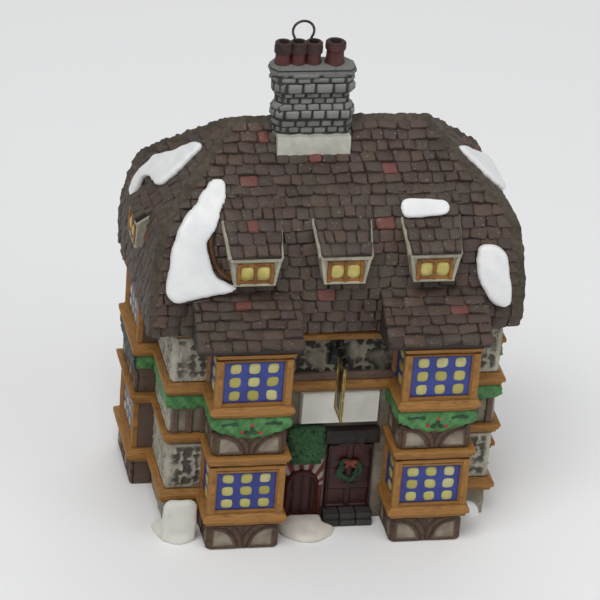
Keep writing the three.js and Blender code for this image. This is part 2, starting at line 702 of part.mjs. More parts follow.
// Iron arm on the wall, and the sign whose eyes turn on it
function addSign(parent) {
  const z = eaveBandZ - arm.drop;
  const bracket = new THREE.Group();
  bracket.position.set(arm.x, -halfY, z);
  const rod = new THREE.CylinderGeometry(arm.radius, arm.radius, arm.length - arm.plate / 2, arm.sides)
    .translate(0, -arm.length / 2 - arm.plate / 4, 0);
  const knob = new THREE.SphereGeometry(arm.knob, arm.sides, arm.sides / 2).translate(0, -arm.length, 0);
  const plateTop = arm.drop - gap;
  const plateProfile = [
    [0, -arm.gusset], [0, plateTop], [-arm.plate, plateTop],
    [-arm.plate - arm.radius * 2, 0], [-arm.plate, -arm.gusset],
  ];
  const plate = sweepX(plateProfile, -arm.plateWidth / 2, arm.plateWidth / 2);
  const iron = solid(plate).add(solid(rod)).add(solid(knob));
  addPiece(bracket, 'sign_bracket', geometryOf(iron), paints.iron);

  const board = new THREE.Group();
  board.position.set(0, -sign.fromWall, 0);
  const faceHalf = sign.thickness / 2;
  const rimHalf = faceHalf + sign.rimProud;
  const top = -sign.hang;
  const plateArea = rect(-faceHalf, faceHalf, -sign.width / 2, sign.width / 2);
  const rimArea = rect(-rimHalf, rimHalf, -sign.width / 2, sign.width / 2);
  const window = rect(-rimHalf - past, rimHalf + past, -sign.width / 2 + sign.rim, sign.width / 2 - sign.rim);
  const rim = slab(rimArea, top - sign.height, top)
    .subtract(slab(window, top - sign.height + sign.rim, top - sign.rim));
  let body = slab(plateArea, top - sign.height, top).add(rim);
  const eyeRadius = arm.radius + sign.eyeClearance + sign.eyeWire;
  for (const side of [-1, 1]) {
    const eye = new THREE.TorusGeometry(eyeRadius, sign.eyeWire, sign.eyeSides, sign.eyeTurns)
      .rotateX(Math.PI / 2)
      .translate(0, side * (sign.width / 2 - sign.eyeInset), 0);
    body = body.add(solid(eye));
  }
  addPiece(board, 'hanging_sign', geometryOf(body), paints.brass);
  bracket.add(board);
  parent.add(bracket);
}

// Garland under the upper band, from the inner side of a front bay round to the wall behind the side bay
function addGarlands(parent) {
  const hung = followWalls(garland.proud, upperBandZ - garland.height, upperBandZ);
  const far = halfX + sideBay.depth + garland.proud + past;
  const front = -halfY - frontBay.depth - garland.proud - past;
  const back = sideBay.y + sideBay.width / 2 + garland.back;
  for (const [name, side] of [['left', -1], ['right', 1]]) {
    const x0 = Math.min(side * garlandEnd, side * far);
    const x1 = Math.max(side * garlandEnd, side * far);
    const keep = slab(rect(x0, x1, front, back), upperBandZ - garland.height - past, upperBandZ + past);
    addPiece(parent, `${name}_garland`, geometryOf(hung.intersect(keep)), paints.green);
  }
}

// Snow lying on a slope: the roof grown by the snow, inside a smooth outline, clear of what stands there
function addRoofSnow(parent) {
  const turns = { front: 0, left: -90, right: 90 };
  const reach = eaveX - roof.shift + 2 * snow.thickness + gap;
  const leanTos = [-1, 1].map((side) => leanTo(gap).translate([side * bayX, -halfY, 0]));
  const fronts = frontDormers.map(({ x }) => dormerBlock(eaveY + dormer.proud, gap).translate([x, 0, 0]));
  const end = dormerBlock(eaveX + dormer.sideProud, gap)
    .rotate([0, 0, turns.left])
    .translate([roof.shift, dormer.sideY, 0]);
  const blanket = [roofEnvelope(gap), ...leanTos, ...fronts, end]
    .reduce((left, body) => left.subtract(body), roofEnvelope(gap + snow.thickness));
  for (const [name, { slope, points }] of Object.entries(snowOutlines)) {
    const curve = new THREE.CatmullRomCurve3(points.map(([x, z]) => new THREE.Vector3(x, z, 0)), true);
    const shape = new THREE.Shape(curve.getPoints(2 * points.length).slice(0, -1)
      .map((point) => new THREE.Vector2(point.x, point.y + eaveZ)));
    const cutter = solid(sweepY(shape, -reach, -roof.ridgeWidth)).rotate([0, 0, turns[slope]]);
    addPiece(parent, name, geometryOf(blanket.intersect(cutter)), paints.snow);
  }
  addDormerSnow(parent);
}

// The patch on top of the right front dormer's roof
function addDormerSnow(parent) {
  const { x } = frontDormers[2];
  const back = -eaveY - dormer.proud + dormer.run;
  const face = eaveZ + dormer.sillRise + dormer.faceHeight;
  const coverTop = (y) => face + (y - back + dormer.run) * dormer.slope + gap + dormer.roofThickness;
  const y1 = back - dormerSnow.fromBack;
  const y0 = y1 - dormerSnow.run;
  const profile = [
    [y0, coverTop(y0) + gap], [y1, coverTop(y1) + gap],
    [y1, coverTop(y1) + gap + snow.thickness], [y0, coverTop(y0) + gap + snow.thickness / 2],
  ];
  const half = dormerSnow.width / 2;
  const patch = solid(sweepX(profile, x + dormerSnow.shift - half, x + dormerSnow.shift + half));
  addPiece(parent, 'snow_right_dormer', geometryOf(patch.subtract(roofEnvelope(gap))), paints.snow);
}

function mound(x, halfWidth, reach, height) {
  return solid(new THREE.SphereGeometry(1, snow.sides, snow.rings)
    .scale(halfWidth, reach, height)
    .translate(x, -halfY, 0));
}

// Snow banked between the left bay and the doorstep, and the blank board standing in snow beside that bay
function addGroundSnow(parent) {
  const front = -halfY - snow.moundReach - past;
  const x0 = frontBayArea(-1).x1 + gap;
  const keep = slab(rect(x0, door.x, front, -halfY - archPanel.thickness - gap), 0, snow.mound + past);
  const stepSide = door.x - doorstep.width / 2 - gap;
  const stepArea = rect(stepSide, door.x + past, -halfY - doorstep.depth - gap, 0);
  const step = slab(stepArea, -past, doorstep.height + past);
  const bank = mound(snow.moundX, snow.moundWidth / 2, snow.moundReach, snow.mound);
  addPiece(parent, 'snow_bank', geometryOf(bank.intersect(keep).subtract(step)), paints.snow);

  const { width, height, thickness, fromWall, round, base } = signpost;
  const half = width / 2;
  const x1 = frontBayArea(-1).x0 - band.proud - gap;
  const x = x1 - signpost.besideBay - half;
  const shape = new THREE.Shape();
  shape.moveTo(x - half, 0);
  shape.lineTo(x + half, 0);
  shape.lineTo(x + half, height - round);
  shape.absarc(x + half - round, height - round, round, 0, Math.PI / 2);
  shape.absarc(x - half + round, height - round, round, Math.PI / 2, Math.PI);
  const board = solid(sweepY(shape, -halfY - fromWall, -halfY - fromWall + thickness));
  const heap = mound(x, half + thickness, fromWall + thickness, base);
  const clear = slab(rect(x - width, x1, -halfY - fromWall - 2 * thickness, -halfY - gap), 0, height + past);
  addPiece(parent, 'snow_board', geometryOf(board.add(heap).intersect(clear)), paints.snow);
}

// The origin is the middle of the whole footprint, so the house stands a little right and back of it
const leftReach = eaveX - roof.shift + dormer.sideProud + dormer.eave;
const rightReach = halfX + gap + sideBay.depth + band.proud;
const origin = new THREE.Group();
origin.position.x = (leftReach - rightReach) / 2;
origin.position.y = (halfY + bayRoofReach - eaveY) / 2;
const ornament = new THREE.Group();
ornament.add(origin);
addWalls(origin);
addBands(origin);
addFrontBay(origin, 'left', -1);
addFrontBay(origin, 'right', 1);
addSideBay(origin, 'left', -1);
addSideBay(origin, 'right', 1);
addMainRoof(origin);
addDormers(origin);
addChimney(origin);
addEntrance(origin);
addSign(origin);
addGarlands(origin);
addRoofSnow(origin);
addGroundSnow(origin);

export default ornament;
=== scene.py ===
import math
import bpy
import numpy as np
from mathutils import Matrix, Vector


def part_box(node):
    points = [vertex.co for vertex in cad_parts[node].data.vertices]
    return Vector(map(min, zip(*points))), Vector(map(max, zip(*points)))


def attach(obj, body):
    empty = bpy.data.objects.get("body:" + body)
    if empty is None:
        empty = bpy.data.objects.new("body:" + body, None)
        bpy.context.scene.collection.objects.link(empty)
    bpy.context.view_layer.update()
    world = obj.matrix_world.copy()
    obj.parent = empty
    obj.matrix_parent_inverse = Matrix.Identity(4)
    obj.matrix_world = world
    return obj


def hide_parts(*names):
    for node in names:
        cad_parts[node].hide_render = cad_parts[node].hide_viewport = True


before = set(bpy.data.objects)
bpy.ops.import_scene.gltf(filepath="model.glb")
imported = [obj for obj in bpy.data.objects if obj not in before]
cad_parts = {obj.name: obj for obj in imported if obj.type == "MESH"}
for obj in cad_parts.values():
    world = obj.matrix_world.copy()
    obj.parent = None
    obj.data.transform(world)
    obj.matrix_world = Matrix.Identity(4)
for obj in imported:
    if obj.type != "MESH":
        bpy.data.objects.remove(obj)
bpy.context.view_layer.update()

mm = 0.001
wallLow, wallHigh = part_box("wall_shell")
middle = np.array([(wallLow[0] + wallHigh[0]) / 2, (wallLow[1] + wallHigh[1]) / 2, 0])

# Shared sizes in mm. x and y are counted from the middle of the four walls, z from the ground.
wallX, wallY, eave = 33.0, 18.3, 44.7
bay = {"x": 18.75, "half": 6.8, "depth": 9.6}
sideBay = {"y": 6.2, "half": 8.35, "depth": 4.1}
bayInner, bayOuter, bayFront = bay["x"] - bay["half"], bay["x"] + bay["half"], -wallY - bay["depth"]
sideX = wallX + sideBay["depth"]
rows = {"base": (0, 5.8), "lower": (8.7, 19.1), "middle": (21.7, 30.4), "upper": (33.2, 43.2)}  # walls between ledges
bayRows, sideRows = (rows["base"], (21.7, 26.9)), (rows["base"], (21.7, 26.4))  # the braced panels on the bays
sides = (("left", -1), ("right", 1))


def rgb(red, green, blue):  # a screen colour, 0 to 255, as linear light
    parts = np.array([red, green, blue]) / 255
    return (*np.where(parts < 0.04045, parts / 12.92, ((parts + 0.055) / 1.055) ** 2.4).tolist(), 1.0)


class Wire:  # a socket's output that can be used in Python sums
    def __init__(self, sheet, out):
        self.sheet, self.out = sheet, out

    def calc(self, operation, *values):
        return self.sheet.add("Math", {"operation": operation}, dict(enumerate(values)))

    def __add__(self, other): return self.calc("ADD", self, other)
    def __sub__(self, other): return self.calc("SUBTRACT", self, other)
    def __rsub__(self, other): return self.calc("SUBTRACT", other, self)
    def __mul__(self, other): return self.calc("MULTIPLY", self, other)

    def clamp(self):
        return self.sheet.add("Clamp", {}, {0: self})


class Sheet:  # one material, its nodes, and the colour laid so far
    def __init__(self, name, colour=None):
        self.material = bpy.data.materials.new(name + "Paint")
        self.material.use_nodes = True
        self.tree = self.material.node_tree
        self.tree.nodes.clear()
        self.where = self.add("TexCoord", output="Object")
        self.colour = rgb(*colour) if colour else None

    def add(self, kind, settings=None, sockets=None, output=0):
        node = self.tree.nodes.new("ShaderNode" + kind)
        for key, value in (settings or {}).items():
            setattr(node, key, value)
        for key, value in (sockets or {}).items():
            if isinstance(value, Wire):
                self.tree.links.new(value.out, node.inputs[key])
            else:
                node.inputs[key].default_value = value
        return Wire(self, node.outputs[output]) if len(node.outputs) else None

    def value(self, name):
        return self.add("Attribute", {"attribute_name": name}, output="Fac")

    def noise(self, scale, detail=4.0, where=None, roughness=0.55):
        return self.add("TexNoise", {}, {"Vector": where or self.where, "Scale": scale, "Detail": detail,
                                         "Roughness": roughness}, output="Fac")

    def step(self, value, low, high):  # 0 below low, 1 above high, smooth between
        return self.add("MapRange", {"interpolation_type": "SMOOTHSTEP"},
                        {"Value": value, "From Min": low, "From Max": high})

    def ramp(self, *stops):  # the first colour comes from the piece's own tone
        wire = self.add("ValToRGB", {}, {"Fac": self.value("tone")})
        elements = wire.out.node.color_ramp.elements
        for _ in stops[2:]:
            elements.new(1)
        for stop, (place, *colour) in zip(elements, stops):
            stop.position, stop.color = place, rgb(*colour)
        self.colour = wire

    def lay(self, share, colour):  # a coat over what is there
        self.colour = self.add("Mix", {"data_type": "RGBA"}, {0: share, 6: self.colour, 7: rgb(*colour)}, output=2)

    def finish(self, roughness, bump, strength, distance=0.0002, **fixed):
        sockets = {key.replace("_", " "): value for key, value in fixed.items()}
        sockets["Normal"] = self.add("Bump", {}, {"Strength": strength, "Distance": distance, "Height": bump})
        shader = self.add("BsdfPrincipled", {}, {"Base Color": self.colour, "Roughness": roughness, **sockets})
        self.add("OutputMaterial", {}, {"Surface": shader})
        return self.material


def plasterPaint(name, light, mid, dark, grime=0.35):  # pale wash on rough plaster, dark where "paint" is high
    sheet = Sheet(name, light)
    cloudy, fine = sheet.noise(190, 3), sheet.noise(1500, 3)
    sheet.lay(sheet.step(cloudy, 0.38, 0.66), mid)
    sheet.lay(sheet.step(fine, 0.55, 0.8) * grime, dark)
    sheet.lay((sheet.value("paint") + (fine - 0.5) * 0.25).clamp(), dark)
    return sheet.finish(0.78, fine * 0.5 + cloudy, 0.5)


def timberPaint(name, light, mid, dark, contrast=1.0):  # strokes that run along the piece, lighter on its nose, partly worn paint and partly painted highlight
    sheet = Sheet(name, mid)
    grain = sheet.add("CombineXYZ", {}, {0: sheet.value("run") * 0.22, 1: sheet.value("lap") * 2.6})
    strokes, mottle = sheet.noise(1.6, 4, grain, 0.65), sheet.noise(420, 3)
    sheet.lay(sheet.step(strokes, 0.36, 0.64), light)
    sheet.lay(sheet.step(mottle, 0.52, 0.74) * 0.5 * contrast, dark)
    sheet.lay(sheet.value("paint").clamp(), dark)
    # lighter on the nose: partly worn paint and partly painted highlight on the parts that stand out most
    sheet.lay(sheet.value("nose") * 0.45, light)
    return sheet.finish(0.62, strokes + mottle * 0.4, 0.5, 0.00022)


def slatePaint(name):  # each slate has its own tone, a few are red, and the joints are dark, darkest along each slate's lower and upper edges as painted shadow under each course
    sheet = Sheet(name)
    sheet.ramp((0.0, 66, 52, 44), (0.3, 83, 66, 56), (0.5, 72, 59, 54), (0.7, 77, 66, 53), (0.88, 88, 68, 56),
               (1.0, 68, 57, 52))
    grain, wash = sheet.noise(900), sheet.noise(95, 3)
    sheet.lay(sheet.value("red") * 0.9, (116, 65, 58))
    sheet.lay(sheet.step(wash, 0.5, 0.75) * 0.35, (84, 84, 70))
    sheet.lay(sheet.step(grain, 0.55, 0.8) * 0.45, (98, 84, 79))
    # dark joints and painted shadow: dark where rim is low, along each slate's lower and upper edges and less at its
    # sides
    sheet.lay((1 - sheet.value("rim")) * 0.36, (38, 29, 27))
    sparkle = sheet.step(sheet.noise(2600, 0), 0.79, 0.82)
    sheet.lay(sparkle * 0.4, (190, 185, 180))
    return sheet.finish(0.6 - sparkle * 0.3, grain + wash, 0.7, 0.0004)


def blockPaint(name, light, mid, dark):  # masonry: a tone for each block, dark joints, and lighter upper edges that are partly dry-brushed wear and partly painted highlight
    sheet = Sheet(name, mid)
    grain = sheet.noise(1100)
    sheet.lay(sheet.value("tone") * 0.8, light)
    sheet.lay(sheet.step(grain, 0.5, 0.78) * 0.5, dark)
    sheet.lay(1 - sheet.value("rim"), dark)
    # lighter where nose is high, set on the chimney bricks' upper edges: partly dry-brushed wear and partly painted
    # highlight
    sheet.lay(sheet.value("nose"), (166, 167, 160))
    return sheet.finish(0.78, grain, 0.6, 0.0003)


def plainPaint(name, light, dark, roughness=0.6, scale=700, bump=0.35, amount=0.8):
    sheet = Sheet(name, light)
    mottle = sheet.noise(scale)
    sheet.lay(sheet.step(mottle * 0.6 + sheet.noise(scale / 6, 2) * 0.4, 0.36, 0.64) * amount, dark)
    sheet.lay(sheet.value("paint").clamp(), [part * 0.35 for part in dark])
    return sheet.finish(roughness, mottle, bump, 0.00022)


def panePaint(name):  # dabs of yellow and green-yellow paint, glossy like glass
    sheet = Sheet(name)
    sheet.ramp((0.0, 156, 148, 72), (0.35, 178, 170, 90), (0.7, 190, 183, 110), (1.0, 196, 192, 142))
    dab = sheet.noise(620, 3)
    sheet.lay(sheet.step(dab, 0.5, 0.72) * 0.55, (166, 160, 84))
    sheet.lay((1 - sheet.value("rim")) * 0.7, (112, 104, 62))
    return sheet.finish(0.38, dab, 0.3)


def snowPaint(name, light, mid, dark):
    sheet = Sheet(name, light)
    soft = sheet.noise(240, 3)
    sheet.lay(sheet.step(soft, 0.35, 0.7), mid)
    sheet.lay(sheet.value("paint").clamp() * 0.6, dark)
    return sheet.finish(0.42, soft * 1.5 + sheet.noise(2200, 2) * 0.3, 0.45, 0.0003, Coat_Weight=0.25,
                        Coat_Roughness=0.25)


def metalPaint(name, light, dark, metallic, roughness):
    sheet = Sheet(name, dark)
    rub = sheet.noise(900)
    sheet.lay(sheet.step(rub, 0.45, 0.75), light)
    return sheet.finish((rub - 0.5) * 0.25 + roughness, rub, 0.3, Metallic=metallic)


def halfTimberPaint(name):  # plaster panels between wood, told apart by the attribute timber
    sheet, wood = Sheet(name, (158, 148, 130)), (94, 70, 52)
    fine, cloudy = sheet.noise(1300, 3), sheet.noise(260, 3)
    sheet.lay(sheet.step(cloudy, 0.38, 0.66), (124, 113, 97))
    plaster, sheet.colour = sheet.colour, rgb(*wood)
    sheet.lay(sheet.step(fine, 0.4, 0.7), (64, 46, 36))
    sheet.colour = sheet.add("Mix", {"data_type": "RGBA"}, {0: sheet.value("timber"), 6: plaster, 7: sheet.colour},
                             output=2)
    sheet.lay(sheet.value("paint").clamp() * 0.8, (46, 33, 28))
    return sheet.finish(0.7, fine + cloudy, 0.5)


# Slot, paint, how it is mixed, its screen colours from light to dark, and what else differs, in the order in
# which the mixing function takes it.
paintTable = [
    ("plaster", "plaster", plasterPaint, (182, 177, 161), (153, 148, 132), (68, 64, 55)),
    ("plaster", "plasterDirty", plasterPaint, (156, 147, 130), (124, 115, 99), (56, 48, 40), 0.6),
    # painted shade: a darker copy of the plaster for the pargeting between the bays, under the eave
    ("plaster", "plasterShaded", plasterPaint, (138, 132, 114), (98, 92, 78), (40, 37, 31), 0.6),
    ("plaster", "redRays", plasterPaint, (168, 156, 146), (140, 128, 120), (112, 40, 32), 0.4),
    # painted shade: a dark plaster for the wall shell, which shows only in the gaps between panels and timbers
    ("plaster", "wall", plainPaint, (126, 117, 101), (92, 84, 72), 0.75, 500),
    ("plaster", "cheek", plainPaint, (180, 175, 156), (138, 132, 116), 0.6, 520),
    ("plaster", "halfTimber", halfTimberPaint),
    ("timber", "timber", timberPaint, (168, 118, 54), (132, 90, 38), (82, 52, 26)),
    ("timber", "timberDark", timberPaint, (108, 86, 72), (80, 62, 52), (44, 32, 28), 0.8),
    ("timber", "dormerFrame", plainPaint, (160, 106, 30), (92, 56, 20), 0.5, 600),
    ("timber", "lintel", plainPaint, (40, 28, 24), (20, 15, 14), 0.6, 500),
    ("slate", "slate", slatePaint),
    ("slate", "mortarRoll", plainPaint, (84, 74, 60), (48, 41, 34), 0.75, 900, 0.8),
    ("slate", "mortar", plainPaint, (52, 41, 38), (34, 26, 24), 0.8),
    ("slate", "stain", plainPaint, (98, 62, 24), (52, 32, 18), 0.5, 500),
    ("brick", "brick", blockPaint, (130, 132, 126), (100, 102, 98), (42, 42, 40)),
    ("brick", "brickMortar", plainPaint, (66, 66, 62), (40, 40, 38), 0.85),
    ("lead", "lead", plainPaint, (200, 200, 187), (170, 169, 156), 0.55, 300),
    ("pots", "pot", plainPaint, (92, 42, 36), (56, 27, 25), 0.6, 500),
    ("pots", "soot", plainPaint, (62, 40, 36), (30, 22, 21), 0.75, 600),
    ("sash", "sash", plainPaint, (50, 66, 148), (36, 44, 112), 0.42, 420, 0.3, 0.7),
    ("panes", "pane", panePaint),
    ("panes", "dormerPane", plainPaint, (206, 196, 118), (160, 140, 58), 0.34, 420),
    ("greenery", "garland", plainPaint, (86, 146, 80), (50, 108, 56), 0.5, 380, 0.5),
    ("greenery", "leafDark", plainPaint, (34, 74, 42), (18, 42, 24), 0.55, 600, 0.5),
    ("greenery", "bush", plainPaint, (38, 88, 42), (18, 52, 25), 0.6, 420, 0.6),
    ("greenery", "berry", plainPaint, (196, 44, 36), (150, 26, 26), 0.35, 800),
    ("door_red", "door", plainPaint, (74, 22, 18), (38, 13, 11), 0.5, 380),
    ("door_red", "arch", plainPaint, (78, 22, 19), (50, 14, 13), 0.6, 420),
    ("door_red", "bow", plainPaint, (150, 66, 42), (104, 42, 32), 0.5, 700),
    ("door_red", "timberRed", timberPaint, (104, 46, 36), (76, 30, 26), (38, 16, 16)),
    ("stone", "stone", blockPaint, (72, 70, 62), (46, 45, 41), (26, 25, 24)),
    ("snow", "snow", snowPaint, (244, 244, 243), (236, 237, 238), (214, 217, 222)),
    ("snow", "board", plainPaint, (226, 224, 214), (204, 202, 192), 0.5, 260),
    # painted shade: the snow bank before the arch is a darker, browner white
    ("snow", "bank", plainPaint, (226, 219, 208), (204, 195, 183), 0.5, 260),
    ("iron", "iron", metalPaint, (58, 56, 56), (16, 15, 16), 0.35, 0.42),
    ("sign_metal", "signBlack", metalPaint, (40, 38, 40), (12, 12, 14), 0.1, 0.4),
    ("sign_metal", "brass", metalPaint, (214, 192, 128), (150, 126, 72), 0.75, 0.34),
    ("wire", "wire", metalPaint, (120, 116, 110), (58, 54, 50), 0.85, 0.36),
]
paints = {name: mix(name, *look) for slot, name, mix, *look in paintTable}
slotOf = {name: slot for slot, name, *rest in paintTable}


def paintNode(name, paint):
    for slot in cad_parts[name].material_slots:
        slot.material = paints[paint]


# painted shade: the wall shell shows only in narrow gaps between panels and timbers, and is painted dark like shaded
# gaps
paintNode("wall_shell", "wall")
paintNode("sign_bracket", "iron")
for name, _ in sides:
    paintNode(f"{name}_bay", "timberDark")
    paintNode(f"{name}_side_bay", "timberDark")
print("paints are mixed")


def grid(us, vs):
    return np.meshgrid(us, vs, indexing="ij")


def pile(*parts):  # separate coordinates, put together as points
    return np.stack(np.broadcast_arrays(*parts), -1)


def spansOf(path):
    return np.linalg.norm(np.diff(path, axis=0), axis=1)


def lengths(path):  # how far along the path each of its points lies
    return np.concatenate([[0], np.cumsum(spansOf(path))])


def unit(vectors):
    return vectors / np.linalg.norm(vectors, axis=-1)[..., None]


def inside(share):  # 1 between the ends of a row of shares, 0 at them
    return ((share > 0) & (share < 1)) * 1.0


def smoothStep(value, low, high):
    t = np.clip((value - low) / (high - low), 0, 1)
    return t * t * (3 - 2 * t)


def ripple(points, size, seed=0.0):  # smooth unevenness from a few crossed sine waves, about -1 to 1
    x, y, z = points[..., 0] / size, points[..., 1] / size, points[..., 2] / size
    return (np.sin(x * 5.1 + z * 2.3 + seed) + np.sin(y * 4.3 - z * 3.7 + seed * 2.1)
            + np.sin((x + y + z) * 2.9 + seed * 3.3)) / 3


def link(name, data):  # puts a mesh, lamp or camera in the scene
    piece = bpy.data.objects.new(name, data)
    bpy.context.scene.collection.objects.link(piece)
    return piece


def placePiece(name, mesh, paint, replaced, body="house", slot=None):
    mesh.materials.append(paints[paint])
    mesh.update()
    piece = link(name, mesh)
    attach(piece, body)
    slot or slotOf[paint]
    if replaced:
        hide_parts(*replaced)


class Shape:  # points, faces and values of closed bodies, gathered for one piece
    def __init__(self):
        self.points, self.faces, self.values, self.count = [], [], {}, 0

    def add(self, points, faces, **values):
        points = np.asarray(points, float)
        for block in faces:
            self.faces.extend((np.asarray(block) + self.count).tolist())
        for key in set(self.values) | set(values):
            earlier = self.values.setdefault(key, [np.zeros(self.count)])
            earlier.append(np.broadcast_to(values.get(key, 0.0), points.shape[:-1]).astype(float).ravel())
        self.points.append(points.reshape(-1, 3))
        self.count += len(self.points[-1])
        return self

    def make(self, name, paint, replaced=(), smooth=40, **place):
        mesh = bpy.data.meshes.new(name)
        mesh.from_pydata((np.concatenate(self.points) * mm + middle).tolist(), [], self.faces)
        for key, parts in self.values.items():
            mesh.attributes.new(key, "FLOAT", "POINT").data.foreach_set("value", np.concatenate(parts))
        mesh.polygons.foreach_set("use_smooth", [smooth > 0] * len(mesh.polygons))
        if smooth:
            mesh.set_sharp_from_angle(angle=math.radians(smooth))
        placePiece(name, mesh, paint, replaced, **place)


def gridFaces(m, n, loopU=False, loopV=False):  # quads of a grid whose normal is U x V
    u = np.arange(m if loopU else m - 1)[:, None]
    v = np.arange(n if loopV else n - 1)[None, :]
    u2, v2 = (u + 1) % m, (v + 1) % n
    return np.stack([u * n + v, u2 * n + v, u2 * n + v2, u * n + v2], -1).reshape(-1, 4)


def sleeve(m, n, loop=False, flip=False):
    # Faces round m rings of n points, with both ends closed unless they loop. Seen from the last ring,
    # the points turn anticlockwise, or clockwise with flip.
    faces = [gridFaces(m, n, loop, True)[:, ::-1]]
    if not loop:
        faces += [np.arange(n)[None, ::-1], (m - 1) * n + np.arange(n)[None]]
    return [part[:, ::-1] for part in faces] if flip else faces


def raised(shape, base, normal, height, sink=0.3, **values):
    # Blocks on a surface: each grid of points rises by its height along the normal, and its outer
    # points go down by sink to a flat foot that closes the block.
    count, m, n, _ = base.shape
    normal, height = np.broadcast_to(normal, base.shape), np.broadcast_to(height, base.shape[:3])
    values = {key: np.reshape(value, np.shape(value) + (1,) * (3 - np.ndim(value))) for key, value in values.items()}
    across = np.cross(base[0, -1, 0] - base[0, 0, 0], base[0, 0, -1] - base[0, 0, 0])
    if across @ normal[0, 0, 0] < 0:
        base, normal, height = base[:, ::-1], normal[:, ::-1], height[:, ::-1]
        values = {key: value[:, ::-1] for key, value in values.items()}
    u, v = np.arange(m), np.arange(n)
    rim = np.concatenate([u[:-1] * n, (m - 1) * n + v[:-1], u[:0:-1] * n + n - 1, v[:0:-1]])  # in order round it
    size, edge = m * n, len(rim)
    k, after = np.arange(edge), np.roll(np.arange(edge), -1)
    side = np.stack([size + k, size + after, rim[after], rim[k]], -1)
    start = (np.arange(count) * (size + edge))[:, None, None]
    faces = [(part + start).reshape(-1, part.shape[-1]) for part in (gridFaces(m, n), side, size + k[None, ::-1])]
    wholes = {key: np.broadcast_to(value, (count, m, n)).reshape(count, size) for key, value in values.items()}
    top, foot = [part.reshape(count, size, 3) for part in (base + normal * height[..., None], base - normal * sink)]
    return shape.add(np.concatenate([top, foot[:, rim]], 1), faces,
                     **{key: np.concatenate([whole, whole[:, rim]], 1) for key, whole in wholes.items()})


def slab(shape, front, back, **values):  # a sheet of points, closed by its rim carried along the vector back
    values = {key: value[None] for key, value in values.items()}
    return raised(shape, front[None], -np.array(back, float), 0, 1, **values)


def tubeAlong(shape, path, radius, points, side, loop=False):  # a round tube; side is square to where it starts
    ahead = unit(np.roll(path, -1, 0) - np.roll(path, 1, 0) if loop else np.gradient(path, axis=0))
    across = unit(np.cross(ahead, side))
    up = np.cross(across, ahead)
    turn = -np.arange(points)[:, None] * 2 * np.pi / points
    ring = path[:, None] + across[:, None] * radius * np.cos(turn) + up[:, None] * radius * np.sin(turn)
    return shape.add(ring, sleeve(len(path), points, loop))


def turned(shape, profile, centre, sides=24):  # a profile of (radius, height) turned round an upright axis
    turn = np.arange(sides) * 2 * np.pi / sides
    radius, height = np.array(profile, float).T[..., None]
    shape.add(pile(radius * np.cos(turn), radius * np.sin(turn), height) + np.array(centre),
              sleeve(len(profile), sides))


def bar(shape, start, end, across, width, depth, soft=0.25, bend=0.0):
    # A timber from start to end: width lies along across, and depth stands out along across x (end - start).
    # Its outer corners are rounded by soft, and it may bow sideways by bend in the middle.
    start, end, across = [np.asarray(part, float) for part in (start, end, across)]
    share = np.linspace(0, 1, 9)[:, None]
    path = start + (end - start) * share + across * (bend * np.sin(np.pi * share))
    out, half = unit(np.cross(across, end - start)), width / 2
    section = np.array([[-half, -0.2], [half, -0.2], [half, depth - soft], [half - soft, depth],
                        [soft - half, depth], [-half, depth - soft]])
    points = path[:, None] + across * section[:, :1] + out * section[:, 1:]
    m, n = points.shape[:2]
    inward = np.cross(points[1, 0] - points[0, 0], points[0, 1] - points[0, 0]) @ out > 0
    shape.add(points, sleeve(m, n, flip=not inward), run=share * np.linalg.norm(end - start),
              lap=np.arange(n) * 0.5, nose=[0, 0, 1, 0.4, 0.4, 1])


def interpolate(at, places, path):  # points of a path, read off at any place between its corners
    return pile(*[np.interp(at, places, column) for column in path.T])


def stops(spans, least, pitch):  # evenly spaced places along a path, counted in its corners
    steps = np.maximum(least, (spans / pitch).astype(int))
    return np.concatenate([corner + np.arange(n) / n for corner, n in enumerate(steps)] + [[len(steps)]])


def bezier(first, towards, last, steps):
    t = np.linspace(0, 1, steps)[:, None]
    return (1 - t) ** 2 * first + 2 * t * (1 - t) * towards + t ** 2 * last


# Half width, front reach, back reach and height. The knee is counted from the foot.
roof = {"foot": (37.1, 20.8, 20.8, eave), "knee": (-1.3, -3.1, -6.1, 22.3), "ridge": (19.85, 0.9, 0.9, 81.2),
        "shift": -1.4, "bulge": 0.6, "kneeRound": 4.0, "sunk": 0.3, "course": 2.33, "slate": (2.2, 4.0), "nose": 0.62,
        "redShare": 0.03, "reds": [(-15.5, 78.4), (-4.8, 76.1), (-17.7, 72.9), (8.1, 74.2), (6.5, 66.9), (-4.8, 52.6)],
        "hollow": [(16.65, 0.45, 0.45, 76.4, -1.4), (32.6, 14.5, 11.5, 63.8, -1.4), (30, 15.3, 15.3, eave, 0)]}


def roofLine():  # the same four lengths, from the eave up to the ridge
    foot, ridge = np.array(roof["foot"]), np.array(roof["ridge"])
    knee = foot + roof["knee"]
    bendStart = knee + (foot - knee) * roof["kneeRound"] / roof["knee"][3]
    bendEnd = knee + (ridge - knee) * roof["kneeRound"] / math.hypot(knee[1], ridge[3] - knee[3])
    swell = foot + roof["bulge"]
    swell[3] = (foot[3] + bendStart[3]) / 2
    whole = np.concatenate([bezier(foot, swell, bendStart, 40), bezier(bendStart, knee, bendEnd, 16)[1:],
                            bezier(bendEnd, (bendEnd + ridge) / 2, ridge, 40)[1:]])
    return whole - [roof["sunk"], roof["sunk"], roof["sunk"], 0]


line = roofLine()
roofSides = {  # direction along the face, outward direction, column of its reach, columns of its ends
    "front": ((1, 0), (0, -1), 1, 0, 0), "back": ((-1, 0), (0, 1), 2, 0, 0),
    "left": ((0, -1), (-1, 0), 0, 2, 1), "right": ((0, 1), (1, 0), 0, 1, 2)}


